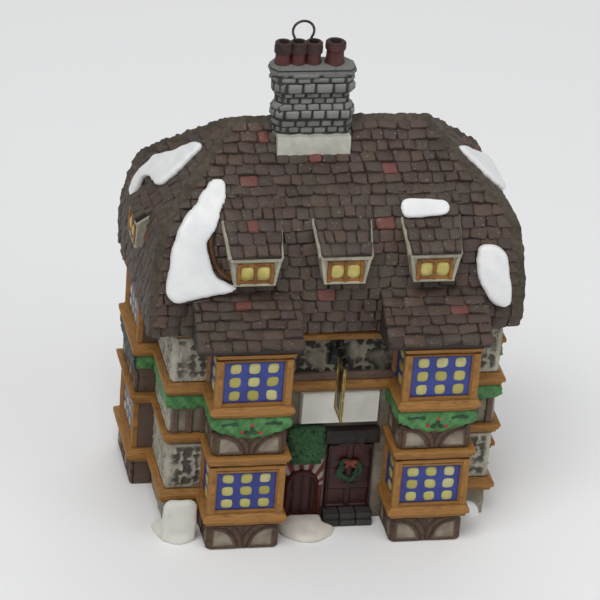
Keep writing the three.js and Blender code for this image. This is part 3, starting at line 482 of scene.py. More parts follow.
class Face:  # one side of the main roof: s runs along it and t up its slope, both in mm
    def __init__(self, name):
        self.along, self.out, reach, low, high = roofSides[name]
        self.t = lengths(line[:, [reach, 3]])
        self.reach, self.z, self.low, self.high = line[:, reach], line[:, 3], -line[:, low], line[:, high]

    def ends(self, t):
        return np.interp(t, self.t, self.low), np.interp(t, self.t, self.high)

    def at(self, s, t):
        s = np.clip(s, *self.ends(t))
        reach, z = np.interp(t, self.t, self.reach), np.interp(t, self.t, self.z)
        rise, lean = [np.interp(t + 0.4, self.t, part) - np.interp(t - 0.4, self.t, part)
                      for part in (self.z, self.reach)]
        point = pile(roof["shift"] + self.along[0] * s + self.out[0] * reach,
                     self.along[1] * s + self.out[1] * reach, z)
        return point, unit(pile(self.out[0] * rise, self.out[1] * rise, -lean))


def slateCells(rng, courses, height, ends, narrow, wide):  # the two ends and the two heights of every slate
    cells = []
    for course in range(courses):
        low, high = ends((course + 0.5) * height)
        widths = rng.uniform(narrow, wide, int((high - low) / narrow) + 3)
        cuts = low - rng.uniform(0, wide) + np.concatenate([[0], np.cumsum(widths)])
        left, right = np.maximum(cuts[:-1], low - 0.2), np.minimum(cuts[1:], high + 0.2)
        keep = right - left > 0.9
        cells.append(pile(left[keep], right[keep], course * height, (course + 1) * height))
    return np.concatenate(cells)


def laySlates(name, replaced, rng, cells, at, nose, joint=0.02, redShare=0.0, reds=()):
    # Every slate is a worn block: highest at its lower edge, while its upper edge runs under the next
    # course. Its corners are rounded, each point strays a little, and the courses wave.
    bevel = np.array([0, 0.1, 0.5, 0.9, 1])
    count, n = len(cells), len(bevel)
    left, right, bottom, top = cells.T[..., None, None]
    skew = rng.normal(0, 0.1, (count, 4))[..., None, None]
    u, v = bevel[:, None], bevel
    corner = abs(2 * u - 1) ** 6 * abs(2 * v - 1) ** 6 * 0.07
    u, v = u + corner * (1 - 2 * u), v + corner * (1 - 2 * v)
    s = left + joint / 2 + (right - left - joint) * u + skew[:, 0] * (v - 0.5) * 2 + rng.normal(0, 0.05, (count, n, n))
    t = bottom + (top - bottom + 0.3) * v + skew[:, 1] * (u - 0.5) * 1.6 + skew[:, 2]
    t = t + rng.normal(0, 0.045, (count, n, n))
    point, normal = at(s, np.maximum(t + 0.17 * np.sin(s * 0.55 + bottom * 1.7), 0.02))
    inner = inside(bevel)
    height = nose * (1 + skew[:, 3] * 1.6) * (1 - 0.75 * bevel) * (0.35 + 0.65 * np.outer(inner, inner))
    height = height * (1 + rng.normal(0, 0.12, (count, n, n)))
    red = (rng.uniform(0, 1, count) < redShare) * (not reds) * 1.0
    centres = point[:, n // 2, n // 2]
    for x, z in reds:
        red[np.hypot(centres[:, 0] - x, centres[:, 2] - z).argmin()] = 1
    # rim is 0 along each slate's lower and upper edges and 0.45 at its sides: dark joints there, and painted shadow
    # under each course
    raised(Shape(), point, normal, height, 0.5, tone=rng.uniform(0, 1, count), red=red,
           rim=np.outer(0.45 + 0.55 * inner, inner)[None]).make(name, "slate", replaced)


def addRoof():  # the roof's plain body, hollow like the walls below it, and the slates on its four sides
    rings = roof["hollow"] + [(*ring, roof["shift"]) for ring in line[::3]]
    points = [[(shift - x, -front, z), (shift + x, -front, z), (shift + x, back, z), (shift - x, back, z)]
              for x, front, back, z, shift in rings]
    Shape().add(points, sleeve(len(rings), 4)).make("roof_body", "mortar", ["main_roof"], 0)
    rng = np.random.default_rng(7)
    for name in roofSides:
        face = Face(name)
        courses = int(face.t[-1] / roof["course"])
        cells = slateCells(rng, courses, face.t[-1] / courses, face.ends, *roof["slate"])
        laySlates(f"slates_{name}", (), rng, cells, face.at, roof["nose"], 0.015, roof["redShare"],
                  roof["reds"] if name == "front" else ())


def rollOver(shape, rng, spine, sideA, sideB, top, halfWidth, height, bump=0.3):
    # A rough roll of mortar: points spread from the spine down both slopes, and the roll's height is a
    # half cosine across it with crossed waves for its lumps.
    v = np.linspace(-1, 1, 15)
    base = spine[:, None] + np.where(v[:, None] < 0, sideA, sideB) * (abs(v) * halfWidth)[:, None]
    lumps = ripple(base, 2.1, 0.7) + 0.7 * ripple(base, 1.0, 2.9) + rng.normal(0, 0.12, base.shape[:2])
    lift = height * np.cos(v * 1.5) ** 0.7 * (1 + bump * lumps)
    blunt = np.sin(np.linspace(0, np.pi, len(spine))) ** 0.15
    raised(shape, base[None], top[:, None], lift * blunt[:, None] + 0.05, 0.9)


def addRolls():  # rough rolls over the four hips and along the ridge
    rng, shape = np.random.default_rng(11), Shape()
    for sideX in (-1, 1):
        for sideY, column in ((-1, 1), (1, 2)):
            edge = pile(roof["shift"] + sideX * line[:, 0], sideY * line[:, column], line[:, 3])
            length = lengths(edge)
            spine = interpolate(np.linspace(0, length[-1], 110), length, edge)
            along = unit(np.gradient(spine, axis=0))
            normalA, normalB = unit(np.cross(along, [1.0, 0, 0])), unit(np.cross(along, [0, 1.0, 0]))
            top = unit(normalA * np.sign(normalA @ [0, sideY, 0.3])[:, None]
                       + normalB * np.sign(normalB @ [sideX, 0, 0.3])[:, None])
            rollOver(shape, rng, spine, [-sideX, 0, 0], [0, -sideY, 0], top, 2.1, 0.95)
    end = roof["ridge"][0] + 0.6
    spine = pile(np.linspace(roof["shift"] - end, roof["shift"] + end, 120), 0, roof["ridge"][3] + 0.25)
    rollOver(shape, rng, spine, [0, -1, -0.75], [0, 1, -0.75], np.array([[0, 0, 1.0]]), 1.7, 0.75)
    shape.make("roof_rolls", "mortarRoll")


addRoof()
addRolls()
print("main roof is slated")

bayRoof = {"half": 10.3, "shift": -1.2, "front": 12.0, "foot": 1.5, "lip": 2.2, "slope": 0.675, "depth": 10.5,
           "courses": 6, "nose": 0.6, "reds": {"left": [(-20.4, 52.4)], "right": [(22.4, 50.2)]}}


def addBayRoofs():
    rng = np.random.default_rng(23)
    half, foot, lip, slope, depth, courses = [bayRoof[key] for key in
                                              ("half", "foot", "lip", "slope", "depth", "courses")]
    size = math.hypot(1, slope)
    for name, side in sides:
        x, y = side * bay["x"] + bayRoof["shift"], -wallY - bayRoof["front"]
        profile = np.array([(depth, 0), (foot, 0), (0, foot), (0, lip), (depth, lip + depth * slope)])
        points = pile([[x - half], [x + half]], y + profile[:, 0], eave + profile[:, 1])
        Shape().add(points, sleeve(2, 5, flip=True)).make(f"{name}_bay_roof_body", "mortar", [f"{name}_bay_roof"], 0)

        def at(s, t):
            t = (t - 0.45) / size
            return pile(x + s, y + t, eave + lip + t * slope), np.array([0, -slope, 1]) / size
        cells = slateCells(rng, courses, depth * size / courses, lambda t: (-half - 0.12, half + 0.12), 2.6, 4.8)
        laySlates(f"{name}_bay_slates", (), rng, cells, at, bayRoof["nose"], reds=bayRoof["reds"][name])


# The low edge, the top edge and the roof of a dormer have a half width at the front and another at the back.
dormer = {"xs": [-18.9, -1.1, 16.7], "front": 22.8, "sill": 56.9, "face": 5.7, "low": (4.0, 5.2), "half": (5.1, 6.5),
          "roof": (4.75, 6.2), "run": 12.0, "slope": 0.72, "eave": 0.9, "thick": 1.2, "courses": 6,
          "window": (3.6, 4.7), "reds": {"left_dormer": [(-19.3, 67.6)]}}


def addDormer(name, turn, front, replaced):
    rng = np.random.default_rng(sum(map(ord, name)))
    run, sill, slope, courses = [dormer[key] for key in ("run", "sill", "slope", "courses")]
    (low, backLow), (half, backHalf), (roofFront, roofBack) = dormer["low"], dormer["half"], dormer["roof"]
    acrossX, acrossZ, head = turn([1, 0, 0], False), turn([0, 0, 1], False), sill + dormer["face"]

    def cheek(share):  # half widths below and above, depth and upper height, from the face back to the roof
        return (low + (backLow - low) * share ** 1.4, half + (backHalf - half) * share ** 1.4, share * run - front,
                head + share * run * slope)
    body = Shape()
    lows, halves, y, top = cheek(np.linspace(0, 1, 9))
    ring = np.stack([pile(-lows, y, sill), pile(lows, y, sill), pile(halves, y, top), pile(-halves, y, top)], 1)
    body.add(turn(ring), sleeve(9, 4, flip=True))
    for way, radius in ((-1, 0.56), (1, 0.36)):  # painted corner posts and the pale verge under the roof's edge
        bar(body, turn([way * (low - 0.25), -front, sill]), turn([way * (half - 0.35), -front, head - 0.1]),
            acrossX, 0.8, 0.3, 0.12)
        _, edge, y, top = cheek(np.linspace(0, 1, 12))
        tubeAlong(body, turn(pile(way * (edge - 0.05), y - 0.15, top - 0.1)), radius, 10, acrossZ)
    for reach, z, width, soft in ((half, head - 0.3, 0.8, 0.18), (low + 0.1, sill + 0.05, 0.5, 0.15)):
        bar(body, turn([reach, -front, z]), turn([-reach, -front, z]), acrossZ, width, 0.5, soft)
    body.make(f"{name}_body", "cheek", replaced[:1])

    size = math.hypot(1, slope)
    length = (run + dormer["eave"]) * size
    roofZ = head - dormer["eave"] * slope + dormer["thick"] + 0.05

    def at(s, t):
        widen = (roofFront + (roofBack - roofFront) * np.clip(t / length, 0, 1)) / roofFront
        place = pile(s * widen, t / size - front - dormer["eave"], roofZ + t * slope / size)
        return turn(place), turn(np.array([0, -slope, 1]) / size, False)
    top, normal = at(*grid([-roofFront, roofFront], [0.1, length]))
    slab(Shape(), top, -normal * dormer["thick"] * 0.9).make(f"{name}_roof_board", "mortar", smooth=0)
    cells = slateCells(rng, courses, length / courses, lambda t: (-roofFront, roofFront), 1.6, 3.0)
    laySlates(f"{name}_slates", replaced[1:2], rng, cells, at, 0.5, reds=dormer["reds"].get(name, ()))

    frames, panes = Shape(), Shape()
    w, h = dormer["window"]
    foot = sill + 0.3
    rails = [((-w, foot + z), (w, foot + z), acrossZ, 0.8, 0.62) for z in (0.35, h - 0.75)]
    rails += [((x, foot), (x, foot + h - 0.4), acrossX, width, depth)
              for x, width, depth in ((0.35 - w, 0.75, 0.62), (w - 0.35, 0.75, 0.62), (0, 0.65, 0.5))]
    for (startX, startZ), (endX, endZ), across, width, depth in rails:
        bar(frames, turn([startX, -front, startZ]), turn([endX, -front, endZ]), across, width, depth, 0.2)
    frames.make(f"{name}_window_frame", "dormerFrame", replaced[2:])
    u, v = grid(np.linspace(0, 1, 7), np.linspace(0, 1, 7))
    swell = (np.sin(np.pi * u) * np.sin(np.pi * v)) ** 0.5
    roundU, roundV = 1 - 0.28 * abs(2 * v - 1) ** 3, 1 - 0.28 * abs(2 * u - 1) ** 3  # rounded corners
    for x in (-w / 2 + 0.1, w / 2 - 0.1):
        sheet = pile(x + (u - 0.5) * 2.9 * roundU, -front - 0.1 - 0.5 * swell,
                     foot + 0.65 + (0.5 + (v - 0.5) * roundV) * (h - 1.7))
        slab(panes, turn(sheet), turn([0, 0.3, 0], False))
    panes.make(f"{name}_panes", "dormerPane")


def turnTo(x, y, quarter):  # from a drawing that faces the viewer to its place on the house
    def turn(points, move=True):
        points = np.asarray(points, float)
        if quarter:  # a quarter turn to the left end
            points = pile(points[..., 1], -points[..., 0], points[..., 2])
        return points + np.array([x, y, 0]) * move
    return turn


addBayRoofs()
for name, x in zip(("left", "middle", "right"), dormer["xs"]):
    addDormer(f"{name}_dormer", turnTo(x, 0, False), dormer["front"],
              [f"{name}_dormer_{part}" for part in ("cheeks", "roof", "window")])
addDormer("side_dormer", turnTo(roof["shift"], -2.0, True), 38.1, ["left_side_dormer"])
print("bay roofs and dormers are on")

# Each course of bricks: its two heights, how far it stands out, and the width of a brick.
chimney = {"x": -5.5, "y": -2.4, "half": (7.95, 2.3), "corner": (1.2, 1.7), "lean": 0.055, "leaning": 6,
           "courses": [(76.4, 77.6, 0, 2.5), (77.75, 78.95, 0, 2.5), (79.1, 80.3, 0, 2.5), (80.45, 81.65, 0, 2.5),
                       (81.8, 83.1, 0, 2.5), (83.65, 85.35, 0.45, 2.6), (85.45, 86.5, 0.42, 2.6),
                       (86.6, 87.75, -0.35, 2.3), (87.85, 88.95, -0.35, 2.3), (89.05, 91.0, 0.32, 2.9),
                       (91.35, 92.4, 0.4, 3.2), (92.45, 93.6, 0.55, 5.5)],
           "core": [(75.5, -0.2), (83.0, -0.2), (83.7, 0.1), (85.4, 0.2), (86.5, -0.55), (88.9, -0.55), (89.0, 0.1),
                    (91.1, 0.1), (91.3, 0.2), (93.5, 0.35)],
           "cap": [(92.9, 0.3), (93.1, 0.62), (93.5, 0.66), (93.75, 0.58), (93.85, 0.36), (93.98, 0.36), (94.1, 0.5),
                   (94.4, 0.36), (94.7, 0.0), (94.85, -0.45)]}


def chimneyPlan(proud, z):  # the stack's eight corners at one height, anticlockwise from above
    x, y = chimney["half"][0] + proud, chimney["half"][1] + proud
    flatX, flatY = x - chimney["corner"][0], y - chimney["corner"][1]
    corners = [(-flatX, -y), (flatX, -y), (x, -flatY), (x, flatY), (flatX, y), (-flatX, y), (-x, flatY), (-x, -flatY)]
    return np.array(corners) + [chimney["x"] - chimney["lean"] * (z - roof["ridge"][3]), chimney["y"]]


def chimneyRings(rings):  # a solid from rings of (height, how far it stands out)
    return [pile(*chimneyPlan(proud, z).T, z) for z, proud in rings], sleeve(len(rings), 8)


def addChimney():
    rng = np.random.default_rng(5)
    Shape().add(*chimneyRings(chimney["core"])).make("chimney_core", "brickMortar", ["chimney_stack"], 0)
    bricks, u, v = Shape(), np.array([0, 0.12, 0.88, 1]), np.array([0, 0.2, 0.8, 1])
    inner = np.outer(inside(u), inside(v))
    for course, (z0, z1, proud, width) in enumerate(chimney["courses"]):
        plan = chimneyPlan(proud - 0.25, (z0 + z1) / 2)
        plan = np.concatenate([plan, plan[:1]])
        length = lengths(plan)
        whole = length[-1]
        count = round(whole / width)
        start = (np.arange(count) + course % 2 * 0.5 + rng.uniform(-0.12, 0.12, count)) * whole / count
        end = np.append(start[1:], start[0] + whole)
        s = (start[:, None] + 0.1 + (end - start - 0.2)[:, None] * u) % whole
        place = interpolate(s, length, plan)
        ahead = unit(interpolate((s + 0.5) % whole, length, plan) - place)[:, 1:2]
        z = z0 + (z1 - z0) * v + rng.normal(0, 0.05, (count, 1, 1))
        base, normal = pile(place[..., :1], place[..., 1:], z), pile(ahead[..., 1], -ahead[..., 0], 0)[:, :, None]
        if course == chimney["leaning"]:  # the weathering above the band leans back
            base = base - normal * (v * 0.7)[:, None]
        lift = (0.42 + rng.normal(0, 0.07, (count, 1, 1))) * (0.2 + 0.8 * inner)
        # upper brick edges are lighter, most on the courses that stand out: dry-brushed wear and a painted highlight
        # where light falls from above
        wornAndLit = np.outer(inside(u), [0, 0, 0.3, 0.75]) * (1.0 if proud > 0.3 else 0.3)
        raised(bricks, base, normal, lift, 0.3, tone=rng.uniform(0, 1, count), rim=inner[None], nose=wornAndLit[None])
    bricks.make("chimney_bricks", "brick")
    shade = np.array([1, 1, 1, 0.8, 0.1, 0.1, 0.8, 1, 1, 1])  # dark in the groove of the rounded cap
    Shape().add(*chimneyRings(chimney["cap"]), tone=0.5, rim=shade[:, None]).make("chimney_cap", "brick", smooth=50)
    s, t = grid(np.linspace(-7.3, 7.3, 60), np.linspace(0, 1, 14))
    y = chimney["y"] - chimney["half"][1] - 1.75 + 0.5 * t ** 3 + 0.04 * np.sin(s * 2.9 + t * 4)
    slab(Shape(), pile(chimney["x"] + s, y, 76.5 + t * 3.7 + 0.08 * np.sin(s * 1.7) * t), [0, 1.5, 0]).make(
        "chimney_apron", "lead", ["chimney_flashing"])


pots = {"base": 94.6, "height": 4.65, "y": -2.8, "sooty": [(-12.3, 1.5), (-9.3, 1.5), (-6.3, 1.5)],
        "clean": [(-2.0, 1.78)], "loop": (-8.6, 101.45), "loopRadius": 2.1, "leg": 1.55, "wire": 0.26}


def addPots():  # profiles are (share of the pot's radius, height); the clean pot is dark at its rim only
    clay, soot, high = Shape(), Shape(), pots["height"]
    mouth = [(1, high), (0.68, high), (0.62, high - 0.5), (0.6, high - 0.9)]
    barrel = [(1.12, -0.2), (1.1, 0.5), (1, 1.0), (0.95, high - 1.75), (1.12, high - 1.55), (1.16, high - 1.1)]
    kinds = {"sooty": ([(1.02, high - 0.9)],
                       [(0.98, high - 2.25), (1.17, high - 2.2), (1.19, high - 1.0), (1.14, high - 0.75),
                        (1.14, high - 0.2)]),
             "clean": ([(1.14, high - 0.75), (1.14, high - 0.32), (1.02, high - 0.34), (0.8, high - 0.95)],
                       [(0.85, high - 0.92), (1, high - 0.35), (1.14, high - 0.3), (1.13, high - 0.2)])}
    for kind, (neck, dark) in kinds.items():
        for x, radius in pots[kind]:
            for shape, profile in ((clay, barrel + neck), (soot, dark + mouth)):
                turned(shape, np.array(profile) * [radius, 1], (x, pots["y"], pots["base"]), 28)
    clay.make("pots_clay", "pot", ["chimney_pots"])
    soot.make("pots_rims", "soot")
    (x, z), radius, leg = pots["loop"], pots["loopRadius"], pots["leg"]
    start = math.asin(leg / radius)
    angle = np.linspace(start, 2 * np.pi - start, 60)[1:-1]
    legZ = np.linspace(pots["base"] + high - 1.7, z - 1.6, 8)
    path = np.concatenate([pile(x - leg, pots["y"], legZ),
                           pile(x - radius * np.sin(angle), pots["y"], z - radius * np.cos(angle)),
                           pile(x + leg, pots["y"], legZ[::-1])])
    for _ in range(3):
        path[1:-1] = (path[:-2] + 2 * path[1:-1] + path[2:]) / 4
    tubeAlong(Shape(), path, pots["wire"], 12, [0, 1, 0]).make("wire_loop", "wire", ["hanging_loop"])


addChimney()
addPots()
print("chimney, pots and loop are up")

leftWalls = [(-bayInner, -wallY), (-bayInner, bayFront), (-bayOuter, bayFront), (-bayOuter, -wallY), (-wallX, -wallY),
             (-wallX, sideBay["y"] - sideBay["half"]), (-sideX, sideBay["y"] - sideBay["half"]),
             (-sideX, sideBay["y"] + sideBay["half"]), (-wallX, sideBay["y"] + sideBay["half"]), (-wallX, wallY)]
wallPath = np.array(leftWalls + [(-x, y) for x, y in leftWalls[::-1]])  # from above, clockwise


def offsetPath(path, distance, loop):  # every corner moves out so that both its walls move by distance
    ahead = unit(np.roll(path, -1, 0) - path)
    after = pile(-ahead[:, 1], ahead[:, 0])  # outward when the corners run clockwise
    before = np.roll(after, 1, 0)
    if not loop:
        before[0], after[-1] = after[0], before[-1]
    return path + distance * (before + after) / (1 + (before * after).sum(1))[:, None]


crown = [(-0.3, 0), (0.2, 0), (0.3, 0.14), (0.55, 0.22), (0.58, 0.45), (0.8, 0.5), (0.84, 0.72), (1.0, 0.78),
         (1.0, 0.97), (0.9, 1.0), (-0.3, 1.0)]
sill = [(-0.3, 0), (0.5, 0), (0.62, 0.08), (0.66, 0.24), (0.85, 0.34), (1.0, 0.4), (1.0, 0.68), (0.86, 0.76),
        (0.55, 0.9), (0.35, 1.0), (-0.3, 1.0)]
ledges = {"lower_ledge": (5.8, 8.7, 1.6, sill, False), "middle_ledge": (19.1, 21.7, 1.6, crown, False),
          "upper_ledge": (30.5, 33.2, 1.6, sill, True), "eave_board": (43.3, eave, 1.2, crown, True)}
for name, (z0, z1, proud, profile, loop) in ledges.items():
    # The profile is carried round the walls as one ring of points for each of its corners.
    outs, ups = np.array(profile).T
    rings = [offsetPath(wallPath, out * proud, loop) for out in outs]
    if loop:
        rings = [np.concatenate([ring, ring[:1]]) for ring in rings]
    share, corners = stops(spansOf(rings[0]), 1, 0.7), np.arange(len(rings[0]))
    if loop:
        share = share[:-1]
    plan = np.stack([interpolate(share, corners, ring) for ring in rings], 1)
    points = pile(plan[..., 0], plan[..., 1], z0 + (z1 - z0) * ups)
    points[..., 2] += ripple(points, 6.0, z0) * 0.1 * (outs > 0.4)
    # darker where the ledge meets the wall, above and below it: partly its dark paint and partly painted shade
    Shape().add(points, sleeve(*points.shape[:2], loop), lap=np.arange(len(outs)) * 0.45,
                run=np.interp(share, corners, lengths(rings[0]))[:, None], nose=np.clip((outs - 0.8) * 5, 0, 1),
                paint=np.where(outs < 0.35, 0.75, 0.0)).make(name + "_moulding", "timber", [name], 30)
print("ledges are round the house")


def onWall(x, y, outX, outY):  # an upright plane; u runs to the right for someone who faces it
    out = np.array([outX, outY, 0.0])

    def at(u, v, height=0.0):
        return pile(x - outY * u, y + outX * u, v) + out * np.asarray(height + 0 * u)[..., None]
    return at, out


def reliefPanel(shape, plane, u0, u1, v0, v1, field, step=0.22, back=0.7, thick=0.0):
    # A rectangle of the wall whose height above it, and paint, are worked out point by point by field.
    at, out = plane
    u, v = grid(np.linspace(u0, u1, max(4, int((u1 - u0) / step))), np.linspace(v0, v1, max(4, int((v1 - v0) / step))))
    height, values = field(u, v, (u - u0) / (u1 - u0), (v - v0) / (v1 - v0))
    edge = np.minimum(np.minimum(u - u0, u1 - u), np.minimum(v - v0, v1 - v))
    slab(shape, at(u, v, height * smoothStep(edge, -0.05, 0.35) + thick), -out * (back + thick), **values)


def leafField(seed, cover=0.9, pitch=2.0):
    # Pargeting: pale strips of plaster twine round dark hollows. The hollows lie in jittered rows, each
    # is a rounded blot of its own size, and they fade out in patches and towards the panel's edges.
    def field(u, v, su, sv):
        rng = np.random.default_rng(seed)
        across, up = np.arange(u.min(), u.max() + pitch, pitch), np.arange(v.min(), v.max() + pitch, pitch * 0.95)
        spots = pile(*grid(across, up)).reshape(-1, 2)
        centres = spots + rng.uniform(-0.45, 0.45, spots.shape)
        phase, size = rng.uniform(0, 6.28, len(spots)), rng.uniform(0.7, 1.25, len(spots))
        du, dv = u[..., None] - centres[:, 0], v[..., None] - centres[:, 1]
        radius, angle = np.hypot(du, dv) / size, np.arctan2(dv, du)
        near = (radius * (1 + 0.16 * np.sin(3 * angle + phase) + 0.12 * np.sin(5 * angle - phase))).min(-1)
        border = np.minimum(np.minimum(u - u.min(), u.max() - u), np.minimum(v - v.min(), v.max() - v))
        hollow, flat = smoothStep(near, 1.0, 0.72), pile(u, v, 0)
        shown = smoothStep(ripple(flat, 5.5, seed), -0.75, -0.1) * smoothStep(border, 0.5, 1.1)
        curl = 0.1 * np.cos(near * 7) * (1 - hollow) + 0.07 * ripple(flat, 1.1, seed)
        return 0.44 + curl - 0.27 * hollow * (0.35 + 0.65 * shown), {"paint": hollow * shown * cover}
    return field


def plainField(seed, depth=0.12, edgeDark=0.0):
    def field(u, v, su, sv):
        edge = np.minimum(su, 1 - su) + 0.3 * np.minimum(sv, 1 - sv)
        # darker towards the panel's edges, most at its left and right ones
        return ripple(pile(u, v, 0), 3.2, seed) * depth + depth, {"paint": edgeDark * smoothStep(edge, 0.12, 0.0)}
    return field


def raysField(u, v, su, sv):  # narrow rays that spread upwards, pale between red ones
    ray = np.sin(np.arctan2(u - u.mean(), v - v.min() + 1.6) * 19)
    return 0.2 + 0.16 * ray, {"paint": smoothStep(ray, 0.25, -0.35)}


def braceField(u, v, su, sv):
    # Two quarter-round plaster panels under curved braces that rise from the middle post. With x the
    # distance from the post and sv the height, the brace is the ellipse round (0.82, 0).
    x = abs(2 * su - 1)
    arc = np.hypot((x - 0.82) / 0.62, sv / 0.8)
    panel = smoothStep(np.minimum(np.minimum(1 - arc, (0.9 - x) * 2.2), (sv - 0.13) * 2.5), 0.0, 0.14)
    grooves = np.exp(-((arc - 1.1) / 0.045) ** 2) + np.exp(-((arc - 1.42) / 0.05) ** 2) * (x < 0.82)
    grooves = np.clip(grooves + np.exp(-(x / 0.035) ** 2) * 0.7, 0, 1) * (1 - panel)
    rim = np.exp(-((panel - 0.45) / 0.3) ** 2)
    height = 0.55 * (1 - panel) - 0.22 * grooves + 0.34 * panel * smoothStep(1 - arc, 0, 0.7)
    return height, {"timber": 1 - panel, "paint": np.clip(grooves * 0.9 + rim * 0.55, 0, 1)}


walls = {"front": onWall(0, -wallY, 0, -1), "back": onWall(0, wallY, 0, 1), "left": onWall(-wallX, 0, -1, 0),
         "right": onWall(wallX, 0, 1, 0)}
ends = {"left": ((2.15, wallY), (-wallY, -14.55)), "right": ((-wallY, -2.15), (14.55, wallY))}  # beside the side bays


def addPanels(name, paint, *panels, **place):  # a piece from one or more panels
    shape = Shape()
    for panel in panels:
        reliefPanel(shape, *panel)
    shape.make(name, paint, **place)


def addWallRelief():
    front, back = walls["front"], walls["back"]
    storeys = [rows[name] for name in ("lower", "middle", "upper")]
    leafy = [(front, *span, *rows[storey], leafField(seed + place)) for storey, seed in (("lower", 3), ("upper", 8))
             for place, span in enumerate(((-wallX, -bayOuter), (bayOuter, wallX)))]
    leafy += [(walls[name], *ends[name][0], *rows[storey], leafField(31 + len(storey), 0.5), 0.26)
              for name, _ in sides for storey in ("lower", "middle", "upper")]
    addPanels("pargeting", "plaster", *leafy)
    # painted shade: the pargeting between the bays, under the eave, takes the darker plaster copy
    addPanels("pargeting_middle", "plasterShaded", (front, -bayInner, bayInner, *rows["upper"], leafField(21, 1.0)))
    plain = [(front, *span, *rows["middle"], plainField(2, 0.2, 0.4))
             for span in ((-wallX, -bayOuter), (bayOuter, wallX))]
    plain += [(front, 9.1, bayInner, 0, rows["middle"][1], plainField(5, 0.12, 0.5), 0.4),
              (front, -bayInner, -9.3, 0, rows["middle"][1], plainField(6, 0.12, 0.5), 0.4),
              (front, bayOuter, wallX, *rows["base"], plainField(7, 0.25, 0.6), 0.3)]
    plain += [(back, 11 * place - 32.1, 11 * place - 22.9, low + 0.2, high - 0.2, plainField(40 + place, 0.18, 0.5),
               0.45) for low, high in rows.values() for place in range(6)]
    plain += [(walls[name], *ends[name][1], *storey, plainField(9, 0.15, 0.5), 0.35)
              for name, _ in sides for storey in storeys]
    addPanels("plaster_panels", "plasterDirty", *plain)

    timbers, up, across = Shape(), [0, 0, 1], [1, 0, 0]
    for name, (low, high) in rows.items():
        for place in range(7):
            x = wallX - 0.8 - place * (2 * wallX - 1.6) / 6
            bar(timbers, [x, wallY, high], [x, wallY, low], across, 1.6, 0.85)
            if place < 6 and name in ("lower", "upper"):
                bar(timbers, [x - 9.2, wallY, high - 0.3], [x - 1.5, wallY, low + 0.3], up, 1.1, 0.75,
                    bend=1.2 if place % 2 else -1.2)
    low, high = rows["middle"]
    for x in (0.9 - wallX, -29.2, -bayOuter - 0.8, bayOuter + 0.8, 29.2, wallX - 0.9):
        bar(timbers, [x, -wallY, low], [x, -wallY, high], across, 1.4, 0.75)
    low, high = rows["upper"]
    bar(timbers, [11.9, -wallY, low + 0.7], [-11.9, -wallY, low + 0.7], up, 1.5, 1.2)
    timbers.make("wall_timbers", "timberDark")
    moulding = Shape()
    bar(moulding, [11.9, -wallY, high - 0.3], [-11.9, -wallY, high - 0.3], up, 1.5, 1.3)
    moulding.make("eave_moulding_middle", "timber")

    red = ((-wallX, -bayOuter, rows["base"][1]), (-bayInner, -9.3, 8.0), (-9.3, -1.0, 8.0))
    addPanels("plinth", "timberRed", *[(front, a, b, 0, high, plainField(12, 0.25), 0.35) for a, b, high in red])
    addPanels("ray_plaster", "redRays", (front, -9.3, -0.9, 8.0, 19.4, raysField, 0.2))
    for name, _ in sides:
        addPanels(f"{name}_plinth", "plasterDirty",
                  *[(walls[name], *span, *rows["base"], plainField(14, 0.2, 0.6), 0.3) for span in ends[name]])


def bayPlanes(side):  # front, left and right face of one front bay, with their ranges of u
    x, half, depth = side * bay["x"], bay["half"], bay["depth"]
    return [(onWall(x, bayFront, 0, -1), -half, half), (onWall(x - half, -wallY, -1, 0), 0, depth),
            (onWall(x + half, -wallY, 1, 0), -depth, 0)]


def addBayWork():
    for name, side in sides:
        addPanels(f"{name}_bay_panels", "halfTimber", *[(*face, low, high, braceField, 0.16, 0.3)
                                                        for face in bayPlanes(side) for low, high in bayRows])
        end, half = onWall(side * sideX, sideBay["y"], side, 0), sideBay["half"]
        addPanels(f"{name}_side_panels", "halfTimber", *[(end, start, start + half, low, high, braceField, 0.2, 0.3)
                                                         for low, high in sideRows for start in (-half, 0)],
                  slot="timber")


frameProfile = [(0, -0.5), (0, 0.62), (0.06, 0.78), (0.2, 0.9), (0.36, 0.9), (0.44, 0.66), (0.52, 0.62), (0.62, 0.8),
                (0.76, 0.78), (0.88, 0.5), (1.0, 0.25), (1.0, -0.5)]


def pictureFrame(shape, plane, u0, u1, v0, v1, widths, profile, stand=1.0):
    # A moulding round a rectangle with mitred corners. A profile point is (share of the way in, height).
    left, right, low, high = widths
    share, height = np.array(profile, float).T * [[1], [stand]]
    k = np.linspace(0, 1, 9)[:-1]
    sideU = np.concatenate([k, 1 + 0 * k, 1 - k, 0 * k])[:, None]
    sideV = np.roll(sideU, len(k), 0)
    u = u0 + left * share + (u1 - right * share - u0 - left * share) * sideU
    v = v0 + low * share + (v1 - high * share - v0 - low * share) * sideV
    wobble = ripple(pile(u, v, 0), 4.0, u0) * 0.05 * (height > 0)
    m, n = u.shape
    shape.add(plane[0](u, v, height + wobble), [gridFaces(m, n, True, True)], run=np.arange(m)[:, None] * 1.3,
              lap=share * 5, nose=np.clip((height / stand - 0.7) * 6, 0, 1),
              paint=np.exp(-((share - 0.48) / 0.06) ** 2) * 0.7)


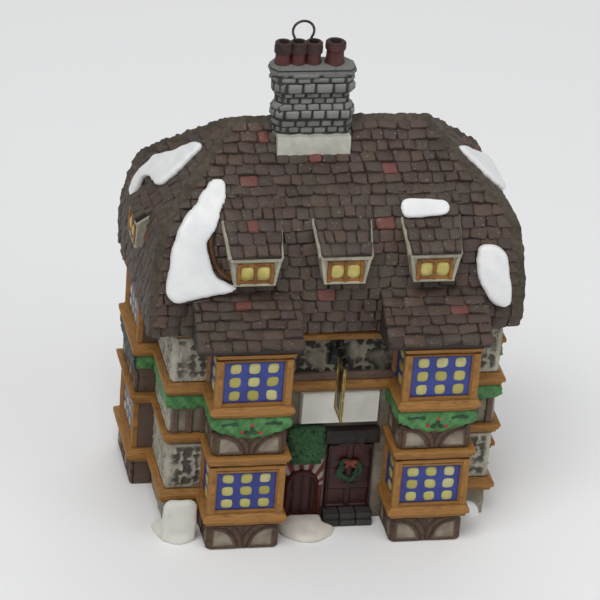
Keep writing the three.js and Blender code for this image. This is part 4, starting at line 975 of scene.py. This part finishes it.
def addPanes(shape, rng, plane, u0, u1, v0, v1, columns, fillU, fillV):
    # Pillow panes in three rows: a square grid rounded to a squircle, highest in the middle.
    at, out = plane
    du, dv = (u1 - u0) / columns, (v1 - v0) / 3
    centres = grid(u0 + du * (np.arange(columns) + 0.5), v0 + dv * (np.arange(3) + 0.5))
    x, z = [part.reshape(-1, 1, 1) for part in centres]
    s, count = np.array([-1, -0.82, -0.4, 0, 0.4, 0.82, 1]), len(x)
    a, b = grid(s, s)
    shrinkU, shrinkV = rng.uniform(0.9, 1.02, (count, 2)).T[..., None, None]
    skewU, skewV = rng.normal(0, 0.045, (count, 2)).T[..., None, None]
    u = x + du * fillU / 2 * (a * np.sqrt(1 - 0.36 * b ** 2) * shrinkU + skewU * b)
    v = z + dv * fillV / 2 * (b * np.sqrt(1 - 0.36 * a ** 2) * shrinkV + skewV * a)
    inner = np.outer(abs(s) < 1, abs(s) < 1)
    lift = 0.3 * np.where(inner, 0.55 + 0.45 * np.cos(a * 1.4) * np.cos(b * 1.4), 0.2)
    raised(shape, at(u, v, 0.1), out, lift, 0.25, tone=rng.uniform(0, 1, count), rim=inner[None] * 1.0)


def sashField(columns):
    def field(u, v, su, sv):
        bars = np.maximum(abs(np.cos(np.pi * su * columns)), abs(np.cos(np.pi * sv * 3)))
        return 0.12 * smoothStep(bars, 0.55, 0.95) + 0.1, {"paint": smoothStep(bars, 0.5, 0.2) * 0.4}
    return field


def addBayWindows():
    rng = np.random.default_rng(31)
    for name, side in sides:
        for storey, rail in (("lower", 1.6), ("upper", 0.45)):
            low, high = rows[storey]
            frames, sashes, panes = Shape(), Shape(), Shape()
            for place, (plane, start, stop) in enumerate(bayPlanes(side)):
                # Stiles meet beyond the bay's front corners, and are narrower beside the wall.
                a, stileA = (start, 1.2) if place == 1 else (start - 0.88, 1.75)
                b, stileB = (stop, 1.2) if place == 2 else (stop + 0.88, 1.75)
                pictureFrame(frames, plane, a, b, low - 0.1, high + 0.1, [stileA, stileB, 0.45, rail], frameProfile,
                             0.96 if place else 1.0)
                u0, u1, v0, v1 = a + stileA * 0.9, b - stileB * 0.9, low + 0.36, high - rail * 0.8
                columns, fill = (1, 0.44) if place else (3, 0.66)
                reliefPanel(sashes, plane, u0, u1, v0, v1, sashField(columns), 0.2, 0.9)
                addPanes(panes, rng, plane, u0 + 0.55, u1 - 0.55, v0 + 0.15, v1 - 0.15, columns, fill, 0.82)
            window = f"{name}_{storey}"
            frames.make(f"{window}_frame_moulding", "timber", [f"{window}_window_frame"], 30)
            sashes.make(f"{window}_sash_bars", "sash", [f"{window}_sash"])
            panes.make(f"{window}_pane_dabs", "pane", [f"{window}_panes"])


def addSideWindows():
    rng, half = np.random.default_rng(37), sideBay["half"]
    for name, side in sides:
        plane = onWall(side * (sideX - 0.25), sideBay["y"], side, 0)
        for storey in ("lower", "upper"):
            low, high = rows[storey]
            window, frames, sashes, panes = f"{name}_side_{storey}", Shape(), Shape(), Shape()
            pictureFrame(frames, plane, -half, half, low, high, [1.7, 1.7, 0.9, 0.9], frameProfile)
            reliefPanel(sashes, plane, 1.4 - half, half - 1.4, low + 0.6, high - 0.6, sashField(4), 0.22, 0.4)
            addPanes(panes, rng, plane, 1.9 - half, half - 1.9, low + 0.9, high - 0.9, 4, 0.64, 0.68)
            frames.make(f"{window}_frame", "timber", smooth=30)
            sashes.make(f"{window}_sash", "sash", [f"{window}_window"])
            panes.make(f"{window}_panes", "pane")


addWallRelief()
addBayWork()
addBayWindows()
addSideWindows()
print("walls and windows are dressed")

garland = {"top": 30.55, "proud": 1.25, "drop": 3.1, "swag": 2.1, "end": 10.4, "backY": 17.55,
           "section": [(-0.25, 0.0), (0.35, 0.02), (0.85, -0.1), (1.0, -0.32), (0.9, -0.52), (0.98, -0.68),
                       (0.72, -0.88), (0.3, -1.0), (-0.25, -1.0)]}


def leafSpray(shape, centres, directions, normals, length, width):
    # Pointed leaves: length along their direction, width following a sine, folded up along the middle.
    s, t = np.linspace(0, 1, 5)[:, None], np.array([-1, 0, 1])
    directions = unit(directions)
    side, half = unit(np.cross(normals, directions)), np.sin(np.pi * (0.08 + 0.88 * s)) * width / 2
    base = (centres[:, None, None] + directions[:, None, None] * (s * length)[..., None]
            + side[:, None, None] * (half * t)[..., None])
    raised(shape, base, normals[:, None, None], 0.16 + 0.2 * (1 - abs(t)) * np.sin(np.pi * s), 0.25)


def addGarlands():
    outs, ups = np.array(garland["section"]).T
    outward, k = outs > 0.3, np.arange(len(outs))
    for name, side in sides:
        path = np.array([(-garland["end"], -wallY), *wallPath[:9], (-wallX, garland["backY"])])
        if side > 0:
            path = (path * [-1, 1])[::-1]
        spans, corners = spansOf(path), np.arange(len(path))
        share = stops(spans, 2, 0.22)
        span = np.minimum(share.astype(int), len(spans) - 1)
        sag = np.sin(np.pi * (share - span)) * np.clip(spans[span] / 8, 0, 1)
        run = np.interp(share, corners, lengths(path))
        scallop = 0.3 * abs(np.sin(run * 1.15)) + 0.08 * np.sin(run * 4.1)
        drop = garland["drop"] + np.where(spans[span] > 13, garland["swag"], 0.7) * sag + scallop - 0.4
        rings = [interpolate(share, corners, offsetPath(path, out * garland["proud"], False)) for out in outs]
        plan = np.stack(rings, 1)
        leafy = 0.1 * np.sin(run[:, None] * 1.9 + k * 1.3) + 0.07 * np.sin(run[:, None] * 4.7 - k * 2.1)
        # painted shade: the outward face is darker in the dips between the leafy ripples
        dark = np.clip(0.12 - leafy * 2.2, 0, 0.5) * outward
        # painted shade: the face that looks out from the left end is painted dark all over
        dark = np.maximum(dark, smoothStep(-plan[..., 0] - sideX, 0.5, 0.9) * 1.6)
        ahead = np.gradient(plan, axis=0)
        ahead /= np.linalg.norm(ahead, axis=-1)[..., None] + 1e-9
        plan = plan + pile(-ahead[..., 1], ahead[..., 0]) * (leafy * outward)[..., None]
        points = pile(plan[..., 0], plan[..., 1], garland["top"] + ups * drop[:, None])
        Shape().add(points, sleeve(*points.shape[:2], flip=True), paint=dark).make(
            f"{name}_garland_swag", "garland", [f"{name}_garland"], 60)
        addGarlandTrim(name, side * bay["x"], bayFront - garland["proud"])


def addGarlandTrim(name, x, y):  # two dark slits, a sprig and three berries on the front of each bay
    sprig, berries, slits = Shape(), Shape(), Shape()
    centres = np.array([[x - 0.1, y + 0.05, 27.4], [x + 0.1, y + 0.05, 27.4], [x, y + 0.05, 27.6]])
    leafSpray(sprig, centres, [[-1, 0, -0.15], [1, 0, -0.1], [0.15, 0, 1]], np.array([[0, -1, 0.1]] * 3), 1.3, 0.95)
    sprig.make(f"{name}_sprig", "leafDark")
    angle = np.linspace(-0.48, 0.48, 7) * np.pi
    for dx, z in ((-1.9, 27.5), (0.1, 29.0), (1.8, 27.3)):
        turned(berries, pile(np.cos(angle), np.sin(angle)) * 0.36, (x + dx, y + 0.05, z), 12)
    berries.make(f"{name}_berries", "berry")
    for dx in (-4.3, 4.4):
        path = pile(x + dx + np.linspace(-1.7, 1.7, 9), y + 0.2, 29.2 + 0.15 * np.sin(np.linspace(0, 3.1, 9)))
        tubeAlong(slits, path, 0.36, 10, [0, 0, 1])
    slits.make(f"{name}_slits", "leafDark")


bush = {"x": -5.2, "half": 3.4, "low": 14.8, "high": 22.5, "proud": 2.6, "leaves": 230}


def bushAt(u, v):  # places on the rounded foliage: u from -1 to 1 across it, v from 0 to 1 upward
    swell = np.sqrt(np.clip(1 - abs(u) ** 3, 0, 1)) * np.sqrt(np.clip(1 - abs(2 * v - 1) ** 4, 0, 1))
    return pile(bush["x"] + u * bush["half"] * (0.8 + 0.14 * v), -wallY - bush["proud"] * (0.3 + 0.55 * swell),
                bush["low"] + v * (bush["high"] - bush["low"]))


def addBush():  # the foliage that hangs over the arched panel: a core covered with leaves
    rng, count = np.random.default_rng(51), bush["leaves"]
    leaves, spots = Shape(), grid(np.linspace(-1, 1, 24), np.linspace(0, 1, 26))
    slab(Shape(), bushAt(*spots), [0, 0.6, 0]).make("foliage_core", "leafDark", ["hanging_greenery"])
    a, b = rng.uniform(-1, 1, count), rng.uniform(0.02, 0.98, count)
    ways = pile(a * 0.8 + rng.normal(0, 0.5, count), -0.2, -0.8 + rng.normal(0, 0.45, count))
    normals = unit(pile(a * 0.5, -1, 0.35 + rng.normal(0, 0.2, count)))
    leafSpray(leaves, bushAt(a, b), ways, normals, 1.35, 1.15)
    leaves.make("foliage_leaves", "bush")


addGarlands()
addBush()
print("greenery hangs")

entry = {"x": 4.1, "half": 4.8, "high": 18.2, "hood": 5.5, "step": 5.1, "stone": 3.4, "archX": -5.4, "archHalf": 3.6,
         "archLow": 2.0, "archHigh": 12.0}


def doorField(u, v, su, sv):  # six sunk panels between stiles, with an arched head
    x = abs(2 * su - 1)
    head = np.hypot(x * 0.9, np.clip(sv - 0.8, 0, 1) * 4)
    column, row = abs(np.sin(np.pi * (su * 2))), abs(np.sin(np.pi * (sv * 3 + 0.02)))
    panel = smoothStep(np.minimum(column, row), 0.3, 0.48)
    frameEdge = smoothStep(np.maximum(x, head), 0.84, 0.9)
    sunk, rim = panel * (1 - frameEdge), np.exp(-((panel - 0.5) / 0.3) ** 2) * (1 - frameEdge)
    return (0.5 * frameEdge + 0.35 * (1 - sunk) + 0.15 * sunk * column * row,
            {"paint": np.clip(rim * 0.6 + frameEdge * 0.5, 0, 0.9)})


def boardField(u, v, su, sv):  # a bare board with a low raised edge, slightly uneven
    edge = np.minimum(np.minimum(su, 1 - su) * 16.3, np.minimum(sv, 1 - sv) * 7.6)
    rim = np.exp(-((edge - 0.45) / 0.28) ** 2)
    return 1.0 + 0.16 * rim + ripple(pile(u, v, 0), 4.5, 3.0) * 0.05, {"paint": 0.1 * smoothStep(edge, 0.25, 0.0)}


def addArch():  # a round-headed recess: planks inside a ring
    x, half, low, high = [entry[key] for key in ("archX", "archHalf", "archLow", "archHigh")]
    u, v = grid(np.linspace(-1, 1, 40), np.linspace(0, 1, 54))
    spring, z = high - half, low + v * (high - low)
    across = u * np.where(z > spring, np.sqrt(np.clip(half ** 2 - (z - spring) ** 2, 0.02, None)), half)
    distance = np.where(z > spring, np.hypot(across, z - spring), abs(across))
    ring = np.exp(-((distance - half + 0.55) / 0.42) ** 2)
    within, planks = smoothStep(half - distance, 0.9, 1.3), abs(np.sin(across * 1.6)) ** 0.5
    dark = np.clip(within * (1.1 - planks) + (1 - ring) * 0.2, 0, 1)
    slab(Shape(), pile(x + across, -wallY - 0.25 - 0.95 * ring - 0.35 * within * planks, z), [0, 0.5, 0],
         paint=dark).make("arched_recess", "arch", ["arched_panel"])


def addWreath():  # two rings of leaves on the door, and a bow of four more
    wreath, bow, angle = Shape(), Shape(), np.linspace(0, 2 * np.pi, 34)[:-1]
    centre = np.array([entry["x"], -wallY - 1.05, 12.0])
    centres = centre + pile(2.0 * np.cos(angle), 0, 2.2 * np.sin(angle))
    ways = pile(-np.sin(angle) + 0.5 * np.cos(3 * angle), -0.15, np.cos(angle) + 0.5 * np.sin(4 * angle))
    normals = unit(pile(0.3 * np.cos(angle), -1, 0.3 * np.sin(angle)))
    leafSpray(wreath, centres, ways, normals, 1.3, 0.85)
    leafSpray(wreath, centre + (centres - centre) * 0.82, -ways, normals, 1.2, 0.8)
    wreath.make("door_wreath", "leafDark")
    for turn in (-2.4, -0.75, 0.3, 2.8):
        leafSpray(bow, centre[None] + [[0, -0.35, 1.9]], [[math.cos(turn), -0.25, math.sin(turn)]],
                  np.array([[0, -1, 0.1]]), 1.5, 0.8)
    bow.make("wreath_bow", "bow")


def addLintel():  # a lintel with a coved underside, carved along its front
    out, up = np.array([(0, 0), (1.1, 0.0), (1.5, 0.35), (1.9, 0.5), (2.3, 0.95), (2.4, 1.3), (2.4, 2.3), (2.15, 2.55),
                        (2.3, 3.0), (2.05, 3.5), (0, 3.6)]).T
    x = np.linspace(-entry["hood"], entry["hood"], 60)[:, None]
    carve = 0.14 * abs(np.sin(x * 1.43)) * (out > 2.2)
    points = pile(entry["x"] + x, -wallY - out + carve, entry["high"] + up + 0.06 * np.sin(x * 2.1) * (out > 0.5))
    Shape().add(points, sleeve(60, len(out), flip=True), paint=np.clip(carve * 3, 0, 1)).make(
        "door_lintel", "lintel", ["door_hood"], 35)


def addSteps():  # two steps of three stones, each with a front and a tread
    steps, u, v = Shape(), np.array([0, 0.06, 0.5, 0.94, 1])[:, None], np.array([0, 0.12, 0.88, 1])
    inner = inside(u) * inside(v)
    lefts = entry["x"] - entry["step"] + np.arange(3) * entry["stone"]
    for z0, z1, proud in ((0.05, 1.5, 3.5), (1.5, 2.95, 3.1)):
        x, y = lefts[:, None, None] + 0.06 + u * 3.28, -wallY - proud
        for place in range(3):
            raised(steps, pile(x[place], y + 0.25, z0 + v * (z1 - z0))[None], np.array([0, -1.0, 0]),
                   0.05 + 0.2 * inner, 2.4, tone=0.3 + 0.3 * place, rim=inner[None])
        raised(steps, pile(x, y + 0.1 + v * 3.0, z1 - 0.1), np.array([0, 0, 1.0]), 0.02 + 0.12 * inner, 0.5,
               tone=np.array([0.2, 0.7, 0.4]), rim=inner[None])
    steps.make("doorstep_stones", "stone", ["doorstep"])


def addEntrance():
    front, left, right = walls["front"], entry["x"] - entry["half"], entry["x"] + entry["half"]
    addPanels("bare_name_board", "board", (front, -7.0, 9.3, 22.8, 30.4, boardField, 0.2, 0.2),
              replaced=["name_board"])
    addPanels("door_leaf", "door", (front, left, right, 3.0, entry["high"], doorField, 0.16, 0.2, 0.35),
              replaced=["door"])
    addWreath()
    addLintel()
    addArch()
    addSteps()


addEntrance()
print("entrance is set")

sign = {"x": -0.5, "z": 41.2, "y": -24.5, "half": 3.0, "top": 40.1, "low": 27.9, "eye": 1.9, "eyeRadius": 1.0,
        "eyeWire": 0.25, "rings": (-19.6, -27.3), "curl": 0.85}


def addBracket():  # the plate behind the iron arm, a curl of iron under the arm, and two rings on it
    scroll, t, x = Shape(), np.linspace(0, 1, 40), sign["x"]
    radius, angle = sign["curl"] * (1 - 0.72 * t), -0.5 + t * 7.2
    y = -wallY - 1.65 - radius * np.cos(angle)  # it stays clear of the sign's inner edge
    tubeAlong(scroll, pile(x, y, sign["z"] - 1.4 + radius * np.sin(angle)), 0.22, 8, [1, 0, 0])
    share = np.array([0, 0.12, 0.5, 0.88, 1])
    u, v = grid(share, share)
    raised(Shape(), pile(x + (u - 0.5) * 2.7, -wallY - 0.35, 36.3 + v * 6.4)[None], np.array([0, -1.0, 0]),
           0.15 + 0.35 * inside(u) * inside(v)).make("bracket_plate", "iron")
    angle = np.arange(16) * 2 * np.pi / 16
    out, along = np.array([(0.35, -0.3), (0.62, -0.25), (0.68, 0), (0.62, 0.25), (0.35, 0.3)]).T[..., None]
    for y in sign["rings"]:
        scroll.add(pile(x + out * np.cos(angle), y + along, sign["z"] - out * np.sin(angle)), sleeve(5, 16))
    scroll.make("bracket_scroll", "iron")


def addSign():
    face, edge, eyes, core = Shape(), Shape(), Shape(), Shape()
    x, y, half, low, top = [sign[key] for key in ("x", "y", "half", "low", "top")]
    rim = [(0, -0.05), (0, 0.2), (0.2, 0.3), (0.6, 0.33), (0.85, 0.28), (1.0, 0.2), (1.0, -0.05)]
    for way in (-1, 1):
        plane = onWall(x, y, way, 0)
        reliefPanel(face, plane, 0.3 - half, half - 0.3, low + 0.3, top - 0.3, plainField(71, 0.03), 0.3, 0.1, 0.12)
        pictureFrame(edge, plane, -half, half, low, top, [0.55] * 4, rim)
        turn = np.linspace(0, 2 * np.pi, 33)[:-1]
        path = pile(x + sign["eyeRadius"] * np.cos(turn), y + way * sign["eye"],
                    sign["z"] + sign["eyeRadius"] * np.sin(turn))
        tubeAlong(eyes, path, sign["eyeWire"], 8, [0, 1, 0], True)
    face.make("sign_faces", "signBlack", ["hanging_sign"], body="sign")
    edge.make("sign_edge", "brass", smooth=50, body="sign")
    eyes.make("sign_eyes", "iron", smooth=50, body="sign", slot="sign_metal")
    groove = [(0, -0.18), (0, 0.18), (1, 0.18), (1, -0.18)]  # the plate between the faces shows as a fine groove
    pictureFrame(core, onWall(x, y, 1, 0), 0.14 - half, half - 0.14, low + 0.14, top - 0.14, [1.6] * 4, groove)
    core.make("sign_core", "brass", smooth=50, body="sign")


addBracket()
addSign()
print("sign hangs on its arm")

drifts = {"voxel": 0.00034, "smoothing": 16, "swell": 0.34, "uneven": 0.1, "boardSwell": 0.12,
          "nodes": ("snow_front_left", "snow_front_right", "snow_left", "snow_right", "snow_right_dormer", "snow_bank")}


def puffedCopy(node, paint, swell, shadeSpot=None, lozenge=0.0):
    # The node's solid, merged, remeshed evenly, smoothed, and swollen along its normals. A lozenge
    # narrows towards both ends, and more at its right one. A shade spot is painted shade, a darker patch: its centre
    # and radius.
    name = node.replace("snow_", "drift_")
    blank = link(name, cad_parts[node].data.copy())
    for kind, settings in (("WELD", {"merge_threshold": 1e-6}),
                           ("REMESH", {"mode": "VOXEL", "voxel_size": drifts["voxel"]}),
                           ("SMOOTH", {"factor": 0.5, "iterations": drifts["smoothing"]})):
        modifier = blank.modifiers.new(kind.lower(), kind)
        for key, value in settings.items():
            setattr(modifier, key, value)
    mesh = bpy.data.meshes.new_from_object(blank.evaluated_get(bpy.context.evaluated_depsgraph_get()))
    bpy.data.objects.remove(blank)
    points, normals = np.empty((2, len(mesh.vertices), 3))
    mesh.vertices.foreach_get("co", points.ravel())
    mesh.vertex_normals.foreach_get("vector", normals.ravel())
    local = (points - middle) / mm
    points += normals * (swell + drifts["uneven"] * ripple(local, 2.6, 1.3))[:, None] * mm
    if lozenge:
        low, high = points.min(0), points.max(0)
        s = (2 * points[:, 0] - low[0] - high[0]) / (high[0] - low[0])
        keep = np.sqrt(np.clip(1 - abs(s) ** 7, 0.03, 1)) * (0.88 - lozenge * s)
        points[:, 1:] = (low + high)[1:] / 2 + (points - (low + high) / 2)[:, 1:] * keep[:, None]
        points[:, 1] -= 0.25 * mm
    points[:, 2] = np.maximum(points[:, 2], 0.0)
    mesh.vertices.foreach_set("co", points.ravel())
    dark = np.zeros(len(points))
    if shadeSpot:
        dark = np.clip(1 - np.linalg.norm(local - shadeSpot[0], axis=1) / shadeSpot[1], 0, 1)
    mesh.attributes.new("paint", "FLOAT", "POINT").data.foreach_set("value", dark)
    mesh.materials.clear()
    mesh.polygons.foreach_set("use_smooth", [True] * len(mesh.polygons))
    placePiece(name, mesh, paint, [node])


def addSnowStain():  # the dark brown line of paint in the hollow edge of the front left patch
    edge = np.array([(-27.5, 69.0), (-27.5, 66.3), (-27.2, 63.4), (-26.5, 60.4), (-25.2, 58.2), (-23.2, 56.9)])
    x, z = interpolate(np.linspace(0, 5, 40), np.arange(6), edge).T
    path = pile(x, -np.interp(z, line[:, 3], line[:, 1]) - 0.6, z)
    tubeAlong(Shape(), path, 0.55, 10, [0, -1, 0]).make("snow_stain", "stain")


def addCornerDrift():  # a small heap of snow against the wall, right of the right bay
    u, v = grid(np.linspace(-1, 1, 28), np.linspace(0, 1, 16))
    dome = np.sqrt(np.clip(1 - u ** 2, 0.002, 1))
    x, z = 29.0 + u * 3.3, v * 3.1 * dome + 0.02
    depth = 0.4 + 1.7 * np.sqrt(np.clip(1 - v ** 2, 0, 1)) * dome
    depth = depth * (1 + 0.12 * ripple(pile(x, 0, z), 2.4, 0.4))
    slab(Shape(), pile(x, -wallY - depth, z), [0, 0.5, 0]).make("drift_corner", "snow", smooth=80)


for node in drifts["nodes"]:
    # the snow bank takes the bank paint, a darker browner white as painted shade
    puffedCopy(node, "bank" if node == "snow_bank" else "snow", drifts["swell"],
               # painted shade on the front left patch, where it lies against the left dormer
               ((-25.5, -19.5, 62.0), 7.0) if node == "snow_front_left" else None,
               0.16 if node == "snow_right_dormer" else 0.0)
puffedCopy("snow_board", "board", drifts["boardSwell"])
addSnowStain()
addCornerDrift()
print("snow has settled")

view = {"azimuth": -13.0, "elevation": 28.1, "roll": 4.6, "distance": 705.7, "focal": 3461.0, "imageWidth": 600,
        "target": (-3.2, 5.2, 37.9)}  # target in the house's own mm
lamps = {  # place in mm from the house, size, strength in watts
    "keyLamp": ((-230, -330, 760), 0.5, 3.1), "fillLamp": ((460, -440, 460), 0.6, 1.0),
    "backLamp": ((150, 480, 640), 0.6, 1.1)}


def addCamera():
    azimuth, elevation, roll = [math.radians(view[key]) for key in ("azimuth", "elevation", "roll")]
    right = np.array([math.cos(azimuth), math.sin(azimuth), 0])
    back = np.array([math.sin(azimuth) * math.cos(elevation), -math.cos(azimuth) * math.cos(elevation),
                     math.sin(elevation)])
    up = np.cross(back, right)
    data = bpy.data.cameras.new("photoCamera")
    data.sensor_fit, data.sensor_width = "HORIZONTAL", 36
    data.lens = view["focal"] / view["imageWidth"] * data.sensor_width
    data.clip_start, data.clip_end = 0.05, 20
    camera, matrix = link("photoCamera", data), np.eye(4)
    matrix[:3] = np.column_stack([math.cos(roll) * right + math.sin(roll) * up,
                                  math.cos(roll) * up - math.sin(roll) * right, back,
                                  np.array(view["target"]) * mm + middle + back * view["distance"] * mm])
    camera.matrix_world = Matrix(matrix.tolist())
    bpy.context.scene.camera = camera


def addLights():
    for name, (place, size, strength) in lamps.items():
        data = bpy.data.lights.new(name, "AREA")
        data.shape, data.size, data.energy = "DISK", size, strength
        lamp = link(name, data)
        lamp.location = np.array(place) * mm + middle
        aim = Vector(np.array([0, 0, 45]) * mm + middle) - lamp.location
        lamp.rotation_euler = aim.to_track_quat("-Z", "Y").to_euler()


def addStage():
    floor = bpy.data.meshes.new("floor")
    floor.from_pydata([(-3, -3, 0), (3, -3, 0), (3, 3, 0), (-3, 3, 0)], [], [(0, 1, 2, 3)])
    sheet = Sheet("floor")
    paper = sheet.add("BsdfPrincipled", {}, {"Base Color": rgb(249, 249, 249), "Roughness": 0.9})
    sheet.add("OutputMaterial", {}, {"Surface": paper})
    floor.materials.append(sheet.material)
    link("floor", floor)
    world = bpy.data.worlds.new("studio")
    world.use_nodes = True
    world.node_tree.nodes["Background"].inputs["Color"].default_value = rgb(238, 240, 242)
    world.node_tree.nodes["Background"].inputs["Strength"].default_value = 0.38
    bpy.context.scene.world = world
    bpy.context.scene.view_settings.view_transform = "Standard"


addCamera()
addLights()
addStage()
